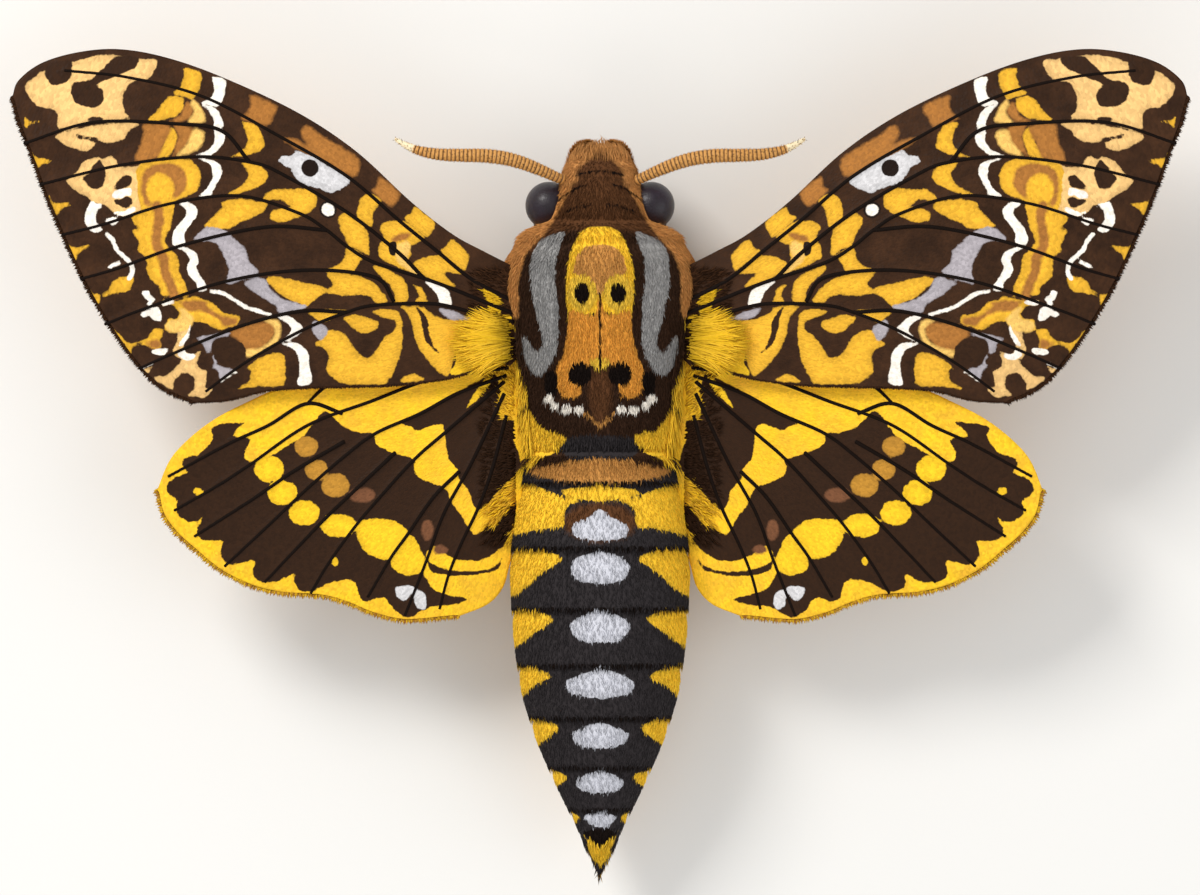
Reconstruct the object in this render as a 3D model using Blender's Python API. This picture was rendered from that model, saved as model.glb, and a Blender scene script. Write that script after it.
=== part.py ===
"""Greater death's-head hawkmoth at life size, standing on its six legs with all four wings spread.

Metres, +Z up. The head points to -Y, the moth's left is +X, and the origin is on the floor under the middle
of the insect's outline. Sizes below are in millimetres, as (across from the midline, back from the origin, up).
"""

import math

import bmesh
import bpy
import numpy as np
from mathutils import Matrix, Vector
from mathutils.geometry import delaunay_2d_cdt

MM = 0.001
GAP = 0.3
SIDES = {"left": 1, "right": -1}
SEED = 11

# Trunk stations: back, half width, half height, height of the centre
THORAX = (
    (-24.5, 3.6, 3.1, 11.4),
    (-23.9, 6.4, 4.9, 11.5),
    (-22.8, 8.4, 5.9, 11.6),
    (-21.8, 8.9, 6.0, 11.7),
    (-20.2, 9.6, 6.7, 11.9),
    (-17.2, 9.9, 7.1, 11.9),
    (-13.6, 9.3, 7.2, 11.8),
    (-9.6, 8.9, 7.1, 11.7),
    (-5.6, 8.6, 6.8, 11.5),
    (-2.2, 8.2, 6.4, 11.4),
    (0.2, 7.2, 5.6, 11.3),
    (1.2, 4.6, 3.6, 11.3),
)
HEAD = (
    (-21.4, 4.6, 3.7, 11.0),
    (-23.2, 5.8, 4.6, 11.1),
    (-25.4, 5.4, 4.7, 11.1),
    (-27.6, 4.6, 4.4, 10.9),
    (-29.6, 4.0, 3.7, 10.6),
    (-31.0, 2.9, 2.6, 10.3),
    (-31.6, 1.6, 1.4, 10.2),
)
ABDOMEN = (
    (-0.8, 7.6, 6.2, 11.3),
    (2.2, 8.2, 6.8, 11.2),
    (8.7, 9.2, 7.4, 11.0),
    (14.4, 9.15, 7.4, 10.7),
    (19.2, 8.75, 7.1, 10.4),
    (23.7, 8.0, 6.5, 10.0),
    (27.6, 6.8, 5.6, 9.6),
    (31.2, 5.3, 4.5, 9.2),
    (34.8, 3.6, 3.1, 8.8),
    (38.4, 1.9, 1.6, 8.5),
    (41.2, 0.5, 0.45, 8.4),
)
SEGMENT_ENDS = (2.15, 8.7, 14.8, 20.45, 25.75, 30.75, 35.05)
SEGMENT_STEP = 0.32
# Places along one ring of plates, and how far the skin is drawn in there
SEGMENT_SHAPE = ((0.02, 1.0), (0.3, 0.25), (0.7, 0.0), (0.985, 0.0))
TRUNK_SIDES = 28
HEAD_SIDES = 24
TRUNK_SQUARENESS = 2.25
THORAX_RINGS = 20
HEAD_RINGS = 14

EYE_CENTRE = (5.15, -25.7, 10.9)
EYE_RADIUS = 2.4
PALP_PATH = ((2.1, -26.5, 6.5), (2.4, -28.9, 6.6), (2.2, -31.0, 7.8), (2.0, -31.8, 10.0))
PALP_RADII = (0.95, 1.45, 1.7, 1.0)
PALP_STEP = 1.3
PALP_SIDES = 12
ANTENNA_PATH = (
    (3.0, -27.9, 12.2),
    (4.6, -28.6, 12.9),
    (6.7, -29.5, 13.4),
    (9.0, -30.25, 13.8),
    (11.4, -30.6, 14.0),
    (13.8, -30.65, 14.1),
    (16.2, -30.75, 14.1),
    (18.2, -31.15, 14.0),
    (19.7, -31.8, 13.7),
    (20.5, -32.3, 13.3),
)
ANTENNA_RADII = (0.5, 0.55, 0.64, 0.7, 0.72, 0.7, 0.66, 0.58, 0.42, 0.22)
ANTENNA_STEP = 0.9
ANTENNA_SIDES = 8
PROBOSCIS_CENTRE = (0.0, -26.4, 4.35)
PROBOSCIS_TURNS = 1.6
PROBOSCIS_COIL = (1.75, 0.45)
PROBOSCIS_RADII = (0.5, 0.28)
PROBOSCIS_STEPS = 22

# Leg joints: root in the thorax, knee, ankle and toe
LEGS = {
    "fore": ((2.2, -17.6, 5.2), (7.0, -21.3, 5.5), (5.4, -25.3, 1.3), (2.4, -30.3, 0.42)),
    "mid": ((2.8, -12.6, 5.0), (12.6, -13.2, 8.4), (17.6, -13.4, 1.3), (25.2, -12.2, 0.42)),
    "hind": ((2.8, -6.4, 5.2), (12.0, -1.2, 8.0), (15.4, 6.0, 1.3), (17.4, 13.4, 0.42)),
}
FEMUR_RADII = (1.15, 1.3, 1.1, 0.8)
TIBIA_RADII = (0.75, 0.9, 0.8, 0.6)
LEG_PLACES = (0.0, 0.3, 0.7, 1.0)
TARSUS_JOINTS = 5
TARSUS_RADII = (0.52, 0.42)
TARSUS_LEAST = 0.3
# Places along one joint of the foot, and its width there
TARSUS_SHAPE = ((0.12, 0.72), (0.8, 1.0))
LEG_SIDES = 8
# Spurs of each shin: place along it, side it leaves by, length
SPURS = {
    "fore": ((0.62, 1, 1.5),),
    "mid": ((0.8, 1, 2.0), (0.8, -1, 1.6)),
    "hind": ((0.55, 1, 1.8), (0.55, -1, 1.4), (0.82, 1, 2.0), (0.82, -1, 1.6)),
}
SPUR_RADIUS = 0.3
CLAW_REACH = 0.95
CLAW_SPREAD = 0.55
CLAW_RADIUS = 0.25
CLAW_TIP_HEIGHT = 0.12

# Locks of long hair: half width and half thickness, and their share of it at places along the lock
LOCK_HALF_WIDTH = 1.0
LOCK_HALF_THICKNESS = 0.36
LOCK_SHAPE = ((0.0, 0.75), (0.36, 1.0), (0.72, 0.68))
LOCK_SIDES = 6
ROOT_DEPTH = 0.7
LOCK_LIFT = 0.45
# Tiers of locks on the thorax: root, tip, lowest and highest angle up from the side, locks on each side
THORAX_TIERS = (
    (-9.2, -5.0, 20.0, 48.0, 3),
    (-6.6, -2.4, 26.0, 54.0, 3),
    (-3.9, 1.5, 30.0, 82.0, 6),
)
# The fan of locks over each forewing's root: its pad's middle and half sizes, then roots and tips, front to back
FAN_PAD = (9.4, -12.4)
FAN_PAD_RADII = (2.7, 2.9, 0.8)
FAN_ROOTS = ((9.9, -14.0), (9.7, -12.2), (9.5, -10.6))
FAN_TIPS = ((12.9, -14.8), (15.0, -12.0), (13.3, -8.9))
FAN_LOCKS = 9
FAN_HALF_WIDTH = 0.85

# Wing outlines as (across, back), round from the front of the root
WING_THICKNESS = 0.5
RIDGE_HEIGHT = 0.22
RIDGE_HALF_WIDTH = 0.45
FOREWING_OUTLINE = (
    (7.4, -18.9), (11.6, -21.0), (14.8, -22.75), (18.9, -25.95), (24.4, -31.0), (30.3, -34.9), (37.8, -38.4),
    (43.4, -40.35), (48.0, -41.15), (52.0, -40.85), (55.7, -39.75), (58.0, -38.0), (58.6, -36.4),
    (58.1, -33.8), (56.9, -30.4), (55.5, -26.3), (53.8, -22.2), (51.6, -17.4), (48.9, -12.9),
    (46.1, -9.2), (43.6, -7.0), (40.6, -5.95), (37.0, -6.2), (33.2, -7.1), (28.9, -7.4), (20.7, -7.65),
    (14.9, -8.4), (10.4, -9.7), (7.4, -10.8),
)
HINDWING_OUTLINE = (
    (7.2, -9.9), (10.6, -10.8), (15.0, -10.4), (20.7, -9.6), (27.0, -8.8), (32.2, -7.3), (35.3, -5.95),
    (38.4, -4.35), (41.0, -2.4), (43.0, -0.2), (44.3, 2.8), (43.9, 5.3), (42.6, 7.3), (40.9, 8.95),
    (38.4, 11.1), (35.3, 12.75), (32.0, 13.6), (28.2, 13.85), (25.6, 14.5), (22.6, 15.65), (19.2, 16.2),
    (14.1, 15.5), (11.4, 14.4), (9.9, 12.9), (9.2, 10.9), (8.2, 6.0), (7.6, 1.0), (7.2, -4.0),
)
# Each vein runs from where it leaves the root or another vein to near the margin
FOREWING_VEINS = (
    ((8.6, -16.0), (12.8, -18.2), (16.4, -21.1), (20.0, -24.0), (25.3, -28.5), (31.9, -32.4), (39.6, -36.4),
     (47.0, -38.3), (53.4, -39.0)),
    ((8.6, -14.8), (11.4, -15.9), (14.6, -17.2), (17.6, -18.3), (22.6, -19.9), (25.3, -21.5), (27.3, -23.1),
     (30.1, -24.8), (36.0, -26.5), (42.9, -25.7), (49.3, -23.7), (53.0, -22.8)),
    ((17.6, -18.3), (20.3, -21.0), (25.3, -24.9), (31.6, -28.6), (34.6, -29.8), (40.2, -30.4), (48.0, -29.5),
     (55.2, -27.8)),
    ((35.0, -29.9), (37.8, -33.0), (42.6, -33.7), (50.6, -33.8), (56.8, -31.9)),
    ((27.3, -23.1), (33.2, -23.4), (41.2, -21.7), (48.0, -19.3), (51.0, -18.5)),
    ((20.6, -16.0), (22.5, -18.4), (29.2, -19.1), (37.2, -18.0), (45.3, -15.3), (48.6, -14.0)),
    ((8.6, -14.0), (11.0, -14.4), (14.6, -15.4), (17.3, -15.8), (22.6, -15.6), (25.3, -14.9), (28.9, -13.5),
     (32.4, -11.7), (36.0, -9.5), (39.0, -7.4)),
    ((25.3, -14.9), (30.0, -15.0), (35.9, -13.5), (42.6, -10.8), (45.4, -9.6)),
)
HINDWING_VEINS = (
    ((9.2, -9.4), (16.4, -8.4), (23.0, -6.0), (29.3, -3.6), (35.0, 0.3), (38.4, 2.5), (42.0, 4.6)),
    ((27.0, -4.5), (29.3, -5.9), (33.2, -3.6), (37.1, -1.8), (42.6, 1.2)),
    ((9.4, -8.6), (14.1, -6.9), (18.0, -4.8), (22.5, -2.8), (25.6, -0.5), (29.4, 2.8), (33.2, 6.4), (37.0, 9.8)),
    ((25.6, -2.0), (30.7, 1.0), (34.5, 3.6), (40.0, 7.0)),
    ((9.6, -8.0), (15.4, -3.0), (18.5, -0.3), (21.8, 3.3), (24.6, 6.6), (27.2, 10.2), (28.9, 12.6)),
    ((20.5, -0.9), (23.6, 2.0), (26.9, 5.1), (30.2, 8.5), (33.3, 11.6)),
    ((9.6, -6.8), (12.8, 0.0), (15.6, 5.1), (17.2, 9.4), (18.4, 12.5), (19.5, 15.2)),
    ((14.1, 1.0), (16.7, 3.6), (19.2, 7.2), (21.0, 9.7), (23.0, 12.9)),
    ((9.4, -4.6), (10.7, 0.4), (12.1, 4.4), (13.9, 8.2), (15.2, 11.4), (16.0, 14.2)),
)
# Height of a wing's middle surface: at the root, rise outwards, its easing, droop backwards, arch across the chord
FOREWING_FORM = {"root": 14.5, "rise": 0.13, "ease": 0.0013, "droop": 0.02, "arch": 0.006, "mid": (-15.0, -0.24)}
HINDWING_FORM = {"root": 12.6, "rise": 0.085, "ease": 0.0009, "droop": 0.05, "arch": 0.004, "mid": (0.0, -0.02)}
ROOT_ACROSS = 9.0
OUTLINE_STEP = 2.0
VEIN_STEP = 3.0
FIELD_STEP = 4.0
FIELD_CLEARANCE = 1.3
RIM_CLEARANCE = 0.5
FOOT_CLEARANCE = 0.36
MEMBRANE_SHARPNESS = 35
BODY_SHARPNESS = 50

COLOURS = {
    "dark_fur": ((0.045, 0.022, 0.013), 0.85),
    "brown_fur": ((0.16, 0.075, 0.03), 0.85),
    "yellow_tuft": ((0.72, 0.42, 0.03), 0.8),
    "abdomen": ((0.03, 0.026, 0.03), 0.8),
    "eye": ((0.02, 0.018, 0.025), 0.18),
    "antenna": ((0.34, 0.17, 0.06), 0.6),
    "proboscis": ((0.07, 0.035, 0.02), 0.4),
    "forewing": ((0.11, 0.055, 0.02), 0.75),
    "hindwing": ((0.62, 0.36, 0.04), 0.75),
    "leg": ((0.05, 0.027, 0.016), 0.7),
}


def clear_scene():
    for obj in list(bpy.data.objects):
        bpy.data.objects.remove(obj)


def material(name):
    found = bpy.data.materials.get(name)
    if found:
        return found
    colour, roughness = COLOURS[name]
    made = bpy.data.materials.new(name)
    made.use_nodes = True
    shader = made.node_tree.nodes["Principled BSDF"]
    shader.inputs["Base Color"].default_value = (*colour, 1.0)
    shader.inputs["Roughness"].default_value = roughness
    shader.inputs["Metallic"].default_value = 0.0
    return made


def smooth_curve(points, parameters):
    """Points on a smooth curve through the given ones, at parameters that count those points from 0."""
    given = np.asarray(points, float)
    last = len(given) - 1
    ends = np.vstack([2 * given[0] - given[1], given, 2 * given[-1] - given[-2]])
    found = []
    for parameter in parameters:
        start = min(int(parameter), last - 1)
        share = parameter - start
        before, here, there, after = ends[start : start + 4]
        found.append(
            0.5
            * (
                2 * here
                + (there - before) * share
                + (2 * before - 5 * here + 4 * there - after) * share**2
                + (3 * here - before - 3 * there + after) * share**3
            )
        )
    return np.array(found)


def even_points(points, step):
    """Points about one step apart along a smooth curve through the given ones, both ends kept."""
    fine = smooth_curve(points, np.linspace(0, len(points) - 1, 12 * len(points)))
    runs = np.concatenate([[0], np.cumsum(np.linalg.norm(np.diff(fine, axis=0), axis=1))])
    count = max(2, round(runs[-1] / step) + 1)
    wanted = np.linspace(0, runs[-1], count)
    return np.column_stack([np.interp(wanted, runs, fine[:, axis]) for axis in range(fine.shape[1])])


def spread(values, count):
    """The values read off at an even count of places from first to last."""
    return np.interp(np.linspace(0, len(values) - 1, count), np.arange(len(values)), values)


def mesh_object(name, vertices, faces, finish, smooth_angle=BODY_SHARPNESS):
    """A closed mesh object, from points in millimetres."""
    mesh = bpy.data.meshes.new(name)
    mesh.from_pydata([Vector(v) * MM for v in vertices], [], faces)
    work = bmesh.new()
    work.from_mesh(mesh)
    bmesh.ops.recalc_face_normals(work, faces=work.faces)
    if work.calc_volume(signed=True) < 0:
        bmesh.ops.reverse_faces(work, faces=work.faces)
    work.to_mesh(mesh)
    work.free()
    mesh.shade_smooth()
    mesh.set_sharp_from_angle(angle=math.radians(smooth_angle))
    mesh.materials.append(material(finish))
    obj = bpy.data.objects.new(name, mesh)
    bpy.context.scene.collection.objects.link(obj)
    return obj


def loft(name, rings, finish, tips=(None, None)):
    """A closed skin over rings with the same number of points. A tip is the point that closes an end."""
    count = len(rings[0])
    vertices = [tuple(point) for ring in rings for point in ring]
    faces = []
    for row in range(len(rings) - 1):
        for column in range(count):
            here, there = row * count + column, row * count + (column + 1) % count
            faces.append((here, there, there + count, here + count))
    for ring, tip in ((0, tips[0]), (len(rings) - 1, tips[1])):
        vertices.append(tuple(np.mean(rings[ring], axis=0)) if tip is None else tuple(tip))
        pole, first = len(vertices) - 1, ring * count
        faces += [(first + column, first + (column + 1) % count, pole) for column in range(count)]
    return mesh_object(name, vertices, faces, finish)


def trunk_spot(back, half_width, half_height, centre, angle):
    """A point of the trunk's skin: round an ellipse made slightly square."""
    across, up = math.cos(angle), math.sin(angle)
    power = 2 / TRUNK_SQUARENESS
    return (
        math.copysign(half_width * abs(across) ** power, across),
        back,
        centre + math.copysign(half_height * abs(up) ** power, up),
    )


def trunk_ring(back, half_width, half_height, centre, sides=TRUNK_SIDES):
    """A ring of points across the trunk."""
    return [trunk_spot(back, half_width, half_height, centre, 2 * math.pi * step / sides) for step in range(sides)]


def trunk_profile(stations, backs):
    """Half width, half height and centre height at each place along the trunk."""
    table = np.array(sorted(stations))
    count = np.interp(backs, table[:, 0], np.arange(len(table)))
    return smooth_curve(table[:, 1:], count)


def trunk(name, stations, finish, rings, sides, grow=0.0):
    """A trunk piece. With grow it is that much larger all round, as a cutter."""
    table = np.array(sorted(stations))
    first, last = table[0, 0], table[-1, 0]
    backs = np.linspace(first, last, rings)
    profile = trunk_profile(stations, backs)
    middle, half = (first + last) / 2, (last - first) / 2
    stretched = middle + (backs - middle) * (half + grow) / half
    made = [
        trunk_ring(back, width + grow, height + grow, centre, sides)
        for back, (width, height, centre) in zip(stretched, profile)
    ]
    tips = [
        (0, stretched[end] + sign * profile[end][1] * 0.2, profile[end][2]) for end, sign in ((0, -1), (-1, 1))
    ]
    return loft(name, made, finish, tips)


def abdomen(name, finish, grow=0.0):
    """The abdomen: each ring of plates swells to its hind edge, which stands over the next."""
    ends = (ABDOMEN[0][0], *SEGMENT_ENDS, ABDOMEN[-1][0])
    rings = []
    for start, end in zip(ends, ends[1:]):
        for share, drop in SEGMENT_SHAPE:
            back = start + (end - start) * share
            width, height, centre = trunk_profile(ABDOMEN, [back])[0]
            inset = SEGMENT_STEP * drop * min(1.0, width / 4) - grow
            rings.append(trunk_ring(back, width - inset, height - inset, centre))
    width, height, centre = trunk_profile(ABDOMEN, [ends[-1]])[0]
    front, back = (0, ends[0] - 0.5 - grow, rings[0][0][2]), (0, ends[-1] + 0.3 + grow, centre)
    return loft(name, rings, finish, (front, back))


def path_frames(path, across=None):
    """Directions along a path, bisecting its bends, and two axes across it."""
    points = [Vector(p) for p in path]
    frames = []
    for index, point in enumerate(points):
        ahead = points[min(index + 1, len(points) - 1)]
        behind = points[max(index - 1, 0)]
        into = (point - behind).normalized() if index else (ahead - point).normalized()
        out = (ahead - point).normalized() if index < len(points) - 1 else into
        along = (into + out).normalized()
        side = Vector(across) if across else along.cross(Vector((0, 0, 1))).normalized()
        frames.append((point, along, side, side.cross(along).normalized()))
    return frames


def ring_about(point, side, up, radii, sides, floor=None):
    """A ring across a path, with its half sizes along side and up. Below the floor height it is pressed flat."""
    ring = []
    for step in range(sides):
        angle = 2 * math.pi * (step + 0.5) / sides
        spot = point + side * radii[0] * math.cos(angle) + up * radii[1] * math.sin(angle)
        if floor is not None:
            spot.z = max(spot.z, floor)
        ring.append(tuple(spot))
    return ring


def tube(name, path, radii, finish, sides, across=None):
    """A round, tapering tube along a path."""
    rings = [
        ring_about(point, side, up, (radius, radius), sides)
        for (point, _along, side, up), radius in zip(path_frames(path, across), radii)
    ]
    return loft(name, rings, finish)


def lock(points, half_width, half_thickness, facing, finish):
    """A flat, bent lock that tapers to its last point. It lies across the direction that it faces."""
    last = len(points) - 1
    rings = []
    for place, size in LOCK_SHAPE:
        here, ahead = (Vector(p) for p in smooth_curve(points, (place * last, (place + 0.1) * last)))
        along = (ahead - here).normalized()
        side = along.cross(facing).normalized()
        rings.append(
            ring_about(here, side, side.cross(along), (half_width * size, half_thickness * size), LOCK_SIDES)
        )
    return loft("lock", rings, finish, (None, tuple(points[-1])))


def ball(name, centre, radii, finish):
    """An egg-shaped body with its middle at a place."""
    bpy.ops.mesh.primitive_uv_sphere_add(segments=16, ring_count=10, radius=MM, location=(0, 0, 0))
    made = bpy.context.object
    made.name = made.data.name = name
    made.data.transform(Matrix.Translation(Vector(centre) * MM) @ Matrix.Diagonal((*radii, 1.0)))
    made.data.shade_smooth()
    made.data.materials.append(material(finish))
    return made


def applied(obj, modifier):
    """The object with its modifier made part of its mesh."""
    graph = bpy.context.evaluated_depsgraph_get()
    mesh = bpy.data.meshes.new_from_object(obj.evaluated_get(graph))
    obj.modifiers.remove(modifier)
    old = obj.data
    obj.data = mesh
    bpy.data.meshes.remove(old)
    mesh.name = obj.name
    return obj


def keep_largest(obj):
    """Only the largest closed surface of the object stays."""
    work = bmesh.new()
    work.from_mesh(obj.data)
    left, groups = set(work.faces), []
    while left:
        start = left.pop()
        group, edge = {start}, [start]
        while edge:
            face = edge.pop()
            for near in (other for side in face.edges for other in side.link_faces if other in left):
                left.discard(near)
                group.add(near)
                edge.append(near)
        groups.append(group)
    groups.sort(key=lambda group: sum(face.calc_area() for face in group))
    for group in groups[:-1]:
        bmesh.ops.delete(work, geom=list(group), context="FACES")
    work.to_mesh(obj.data)
    work.free()
    return obj


def cut(obj, *cutters):
    """Takes the cutters away from the object."""
    for cutter in cutters:
        modifier = obj.modifiers.new("cut", "BOOLEAN")
        modifier.operation = "DIFFERENCE"
        modifier.object = cutter
        applied(obj, modifier)
    return keep_largest(obj)


def fuse(obj, pieces):
    """Joins the pieces to the object in one union and removes them."""
    group = bpy.data.collections.new("pieces")
    for piece in pieces:
        group.objects.link(piece)
    modifier = obj.modifiers.new("fuse", "BOOLEAN")
    modifier.operation = "UNION"
    modifier.operand_type = "COLLECTION"
    modifier.collection = group
    applied(obj, modifier)
    remove(*pieces)
    bpy.data.collections.remove(group)
    return keep_largest(obj)


def remove(*objects):
    for obj in objects:
        bpy.data.objects.remove(obj)


def mirrored(obj, name):
    """A copy of a left piece for the right side."""
    mesh = obj.data.copy()
    mesh.name = name
    work = bmesh.new()
    work.from_mesh(mesh)
    for vertex in work.verts:
        vertex.co.x = -vertex.co.x
    bmesh.ops.reverse_faces(work, faces=work.faces)
    work.to_mesh(mesh)
    work.free()
    copy = bpy.data.objects.new(name, mesh)
    bpy.context.scene.collection.objects.link(copy)
    return copy


def wing_height(form, across, back):
    """Height of the middle of the membrane."""
    out = across - ROOT_ACROSS
    middle = form["mid"][0] + form["mid"][1] * out
    return (
        form["root"]
        + form["rise"] * out
        - form["ease"] * out**2
        - form["droop"] * (back - form["mid"][0])
        - form["arch"] * (back - middle) ** 2
    )


def distance_to_lines(points, lines):
    """Distance from each point to the nearest of several polylines, in the plane."""
    nearest = np.full(len(points), np.inf)
    for line in lines:
        for start, end in zip(line, line[1:]):
            along = end - start
            share = np.clip((points - start) @ along / max(along @ along, 1e-9), 0, 1)
            gap = np.linalg.norm(points - (start + share[:, None] * along), axis=1)
            nearest = np.minimum(nearest, gap)
    return nearest


def inside(points, outline):
    """Whether each point lies inside a closed outline."""
    x, y = points[:, 0], points[:, 1]
    found = np.zeros(len(points), bool)
    for (x0, y0), (x1, y1) in zip(outline, np.roll(outline, -1, axis=0)):
        if y0 == y1:
            continue
        crosses = (y0 > y) != (y1 > y)
        found ^= crosses & (x < (x1 - x0) * (y - y0) / (y1 - y0) + x0)
    return found


def wing_plan(outline, veins):
    """Flat layout of a wing: points and triangles that follow its outline, its veins and their feet."""
    rim = even_points((*outline, outline[0]), OUTLINE_STEP)[:-1]
    rim_line = [np.vstack([rim, rim[:1]])]
    lines = [even_points(vein, VEIN_STEP) for vein in veins]
    points = [tuple(p) for p in rim]
    edges = [(i, (i + 1) % len(rim)) for i in range(len(rim))]
    for line in lines:
        first = len(points)
        points += [tuple(p) for p in line]
        edges += [(first + i, first + i + 1) for i in range(len(line) - 1)]
    for line in lines:
        along = np.gradient(line, axis=0)
        across = np.column_stack([-along[:, 1], along[:, 0]])
        across *= RIDGE_HALF_WIDTH / np.linalg.norm(across, axis=1)[:, None]
        for feet in (line + across, line - across):
            clear = distance_to_lines(feet, lines) > FOOT_CLEARANCE
            clear &= (distance_to_lines(feet, rim_line) > RIM_CLEARANCE) & inside(feet, rim)
            before = None
            for spot, kept in zip(feet, clear):
                if kept:
                    points.append(tuple(spot))
                    if before is not None:
                        edges.append((before, len(points) - 1))
                before = len(points) - 1 if kept else None
    low, high = rim.min(0), rim.max(0)
    grid = np.array(
        [
            (across + FIELD_STEP / 2 * (row % 2), back)
            for row, back in enumerate(np.arange(low[1], high[1], FIELD_STEP * 0.87))
            for across in np.arange(low[0], high[0], FIELD_STEP)
        ]
    )
    clear = (distance_to_lines(grid, lines) > FIELD_CLEARANCE) & inside(grid, rim)
    clear &= distance_to_lines(grid, rim_line) > FIELD_CLEARANCE
    points += [tuple(p) for p in grid[clear]]
    found, _edges, triangles, *_origins = delaunay_2d_cdt([Vector(p) for p in points], edges, [], 1, 1e-4)
    return np.array([tuple(p) for p in found]), [tuple(t) for t in triangles], lines


def wing(name, outline, veins, form, finish):
    """A wing: a thin arched membrane whose veins stand up as ridges on both faces."""
    plan, triangles, lines = wing_plan(outline, veins)
    middle = wing_height(form, plan[:, 0], plan[:, 1])
    ridge = RIDGE_HEIGHT * np.clip(1 - distance_to_lines(plan, lines) / RIDGE_HALF_WIDTH, 0, 1)
    half = WING_THICKNESS / 2
    top = np.column_stack([plan, middle + half + ridge])
    under = np.column_stack([plan, middle - half - ridge])
    count = len(plan)
    faces = list(triangles) + [tuple(count + i for i in reversed(t)) for t in triangles]
    sides = {(start, end) for t in triangles for start, end in zip(t, t[1:] + t[:1])}
    for start, end in sorted(sides):
        if (end, start) not in sides:
            faces += [(end, start, count + start), (end, count + start, count + end)]
    return mesh_object(name, np.vstack([top, under]), faces, finish, MEMBRANE_SHARPNESS)


def leg(name, pair, joints, cutter):
    """One leg as three pieces, parted by thin slanting cuts at the knee and the ankle."""
    root, knee, ankle, toe = (Vector(p) for p in joints)
    foot = Vector((ankle.x, ankle.y, toe.z)).lerp(toe, 0.12)
    knee_plane = ((knee - root).normalized() + (ankle - knee).normalized()).normalized()
    ankle_plane = ((ankle - knee).normalized() + (foot - ankle).normalized()).normalized()
    half_gap = GAP / 2
    femur = leg_piece(f"{name}_femur", root, knee, FEMUR_RADII, (None, knee_plane), half_gap)
    cut(femur, cutter)
    tibia = leg_piece(f"{name}_tibia", knee, ankle, TIBIA_RADII, (knee_plane, ankle_plane), half_gap)
    fuse(tibia, [spur(knee, ankle, *sizes) for sizes in SPURS[pair]])
    tarsus = foot_of(f"{name}_tarsus", ankle + ankle_plane * half_gap, ankle_plane, foot, toe)
    fuse(tarsus, [claw(foot, toe, sign) for sign in (1, -1)])
    return femur, tibia, tarsus


def upright_axes(along):
    """The level direction across a limb and the one that points up from it."""
    side = along.cross(Vector((0, 0, 1))).normalized()
    return side, side.cross(along).normalized()


def leg_piece(name, start, end, radii, planes, half_gap):
    """A straight leg piece. Where an end has a plane, its last ring lies in it, half the gap short of the joint."""
    straight = (end - start).normalized()
    rings = []
    for place, radius in zip(LEG_PLACES, radii):
        point, along = start.lerp(end, place), straight
        if place == 0.0 and planes[0]:
            point, along = point + planes[0] * half_gap, planes[0]
        if place == 1.0 and planes[1]:
            point, along = point - planes[1] * half_gap, planes[1]
        rings.append(ring_about(point, *upright_axes(along), (radius, radius), LEG_SIDES))
    return loft(name, rings, "leg")


def foot_of(name, start, plane, foot, toe):
    """The jointed foot: five beads in a row, flat underneath where they lie on the floor."""
    width = TIBIA_RADII[-1]
    rings = [ring_about(start, *upright_axes(plane), (width, width), LEG_SIDES, 0.0)]
    run = (toe - foot).normalized()
    for joint in range(TARSUS_JOINTS):
        for share, size in TARSUS_SHAPE:
            place = (joint + share) / TARSUS_JOINTS
            radius = (TARSUS_RADII[0] + (TARSUS_RADII[1] - TARSUS_RADII[0]) * place) * size
            radius = max(radius, TARSUS_LEAST)
            rings.append(ring_about(foot.lerp(toe, place), *upright_axes(run), (radius, radius), LEG_SIDES, 0.0))
    tip = toe + run * 0.25
    return loft(name, rings, "leg", (None, (tip.x, tip.y, 0.2)))


def spur(knee, ankle, place, sign, length):
    """A stout spine that leaves the shin to one side and leans towards the foot."""
    down = (ankle - knee).normalized()
    side = upright_axes(down)[0] * sign
    root = knee.lerp(ankle, place)
    middle = root + (side * 0.75 + down * 0.35) * length * 0.55
    tip = root + (side * 0.8 + down * 0.75) * length
    return lock((root, middle, tip), SPUR_RADIUS, SPUR_RADIUS, down.cross(side), "leg")


def claw(foot, toe, sign):
    """One of the two hooked claws at the end of a foot."""
    run = (toe - foot).normalized()
    side = upright_axes(run)[0] * sign
    root = toe - run * 0.3
    middle = toe + run * CLAW_REACH * 0.45 + side * CLAW_SPREAD * 0.75
    end = toe + run * CLAW_REACH + side * CLAW_SPREAD
    tip = Vector((end.x, end.y, CLAW_TIP_HEIGHT))
    return lock((root, middle, tip), CLAW_RADIUS, CLAW_RADIUS, Vector((0, 0, 1)), "leg")


def coil_path():
    """The proboscis: from the underside of the head down and round into a short coil."""
    outer, inner = PROBOSCIS_COIL
    centre = Vector(PROBOSCIS_CENTRE)
    path = [centre + Vector((0, outer * 0.9, 3.4)), centre + Vector((0, outer, 1.6))]
    for step in range(PROBOSCIS_STEPS + 1):
        share = step / PROBOSCIS_STEPS
        angle = -2 * math.pi * PROBOSCIS_TURNS * share
        reach = outer + (inner - outer) * share
        path.append(centre + Vector((0, reach * math.cos(angle), reach * math.sin(angle))))
    return path


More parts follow.
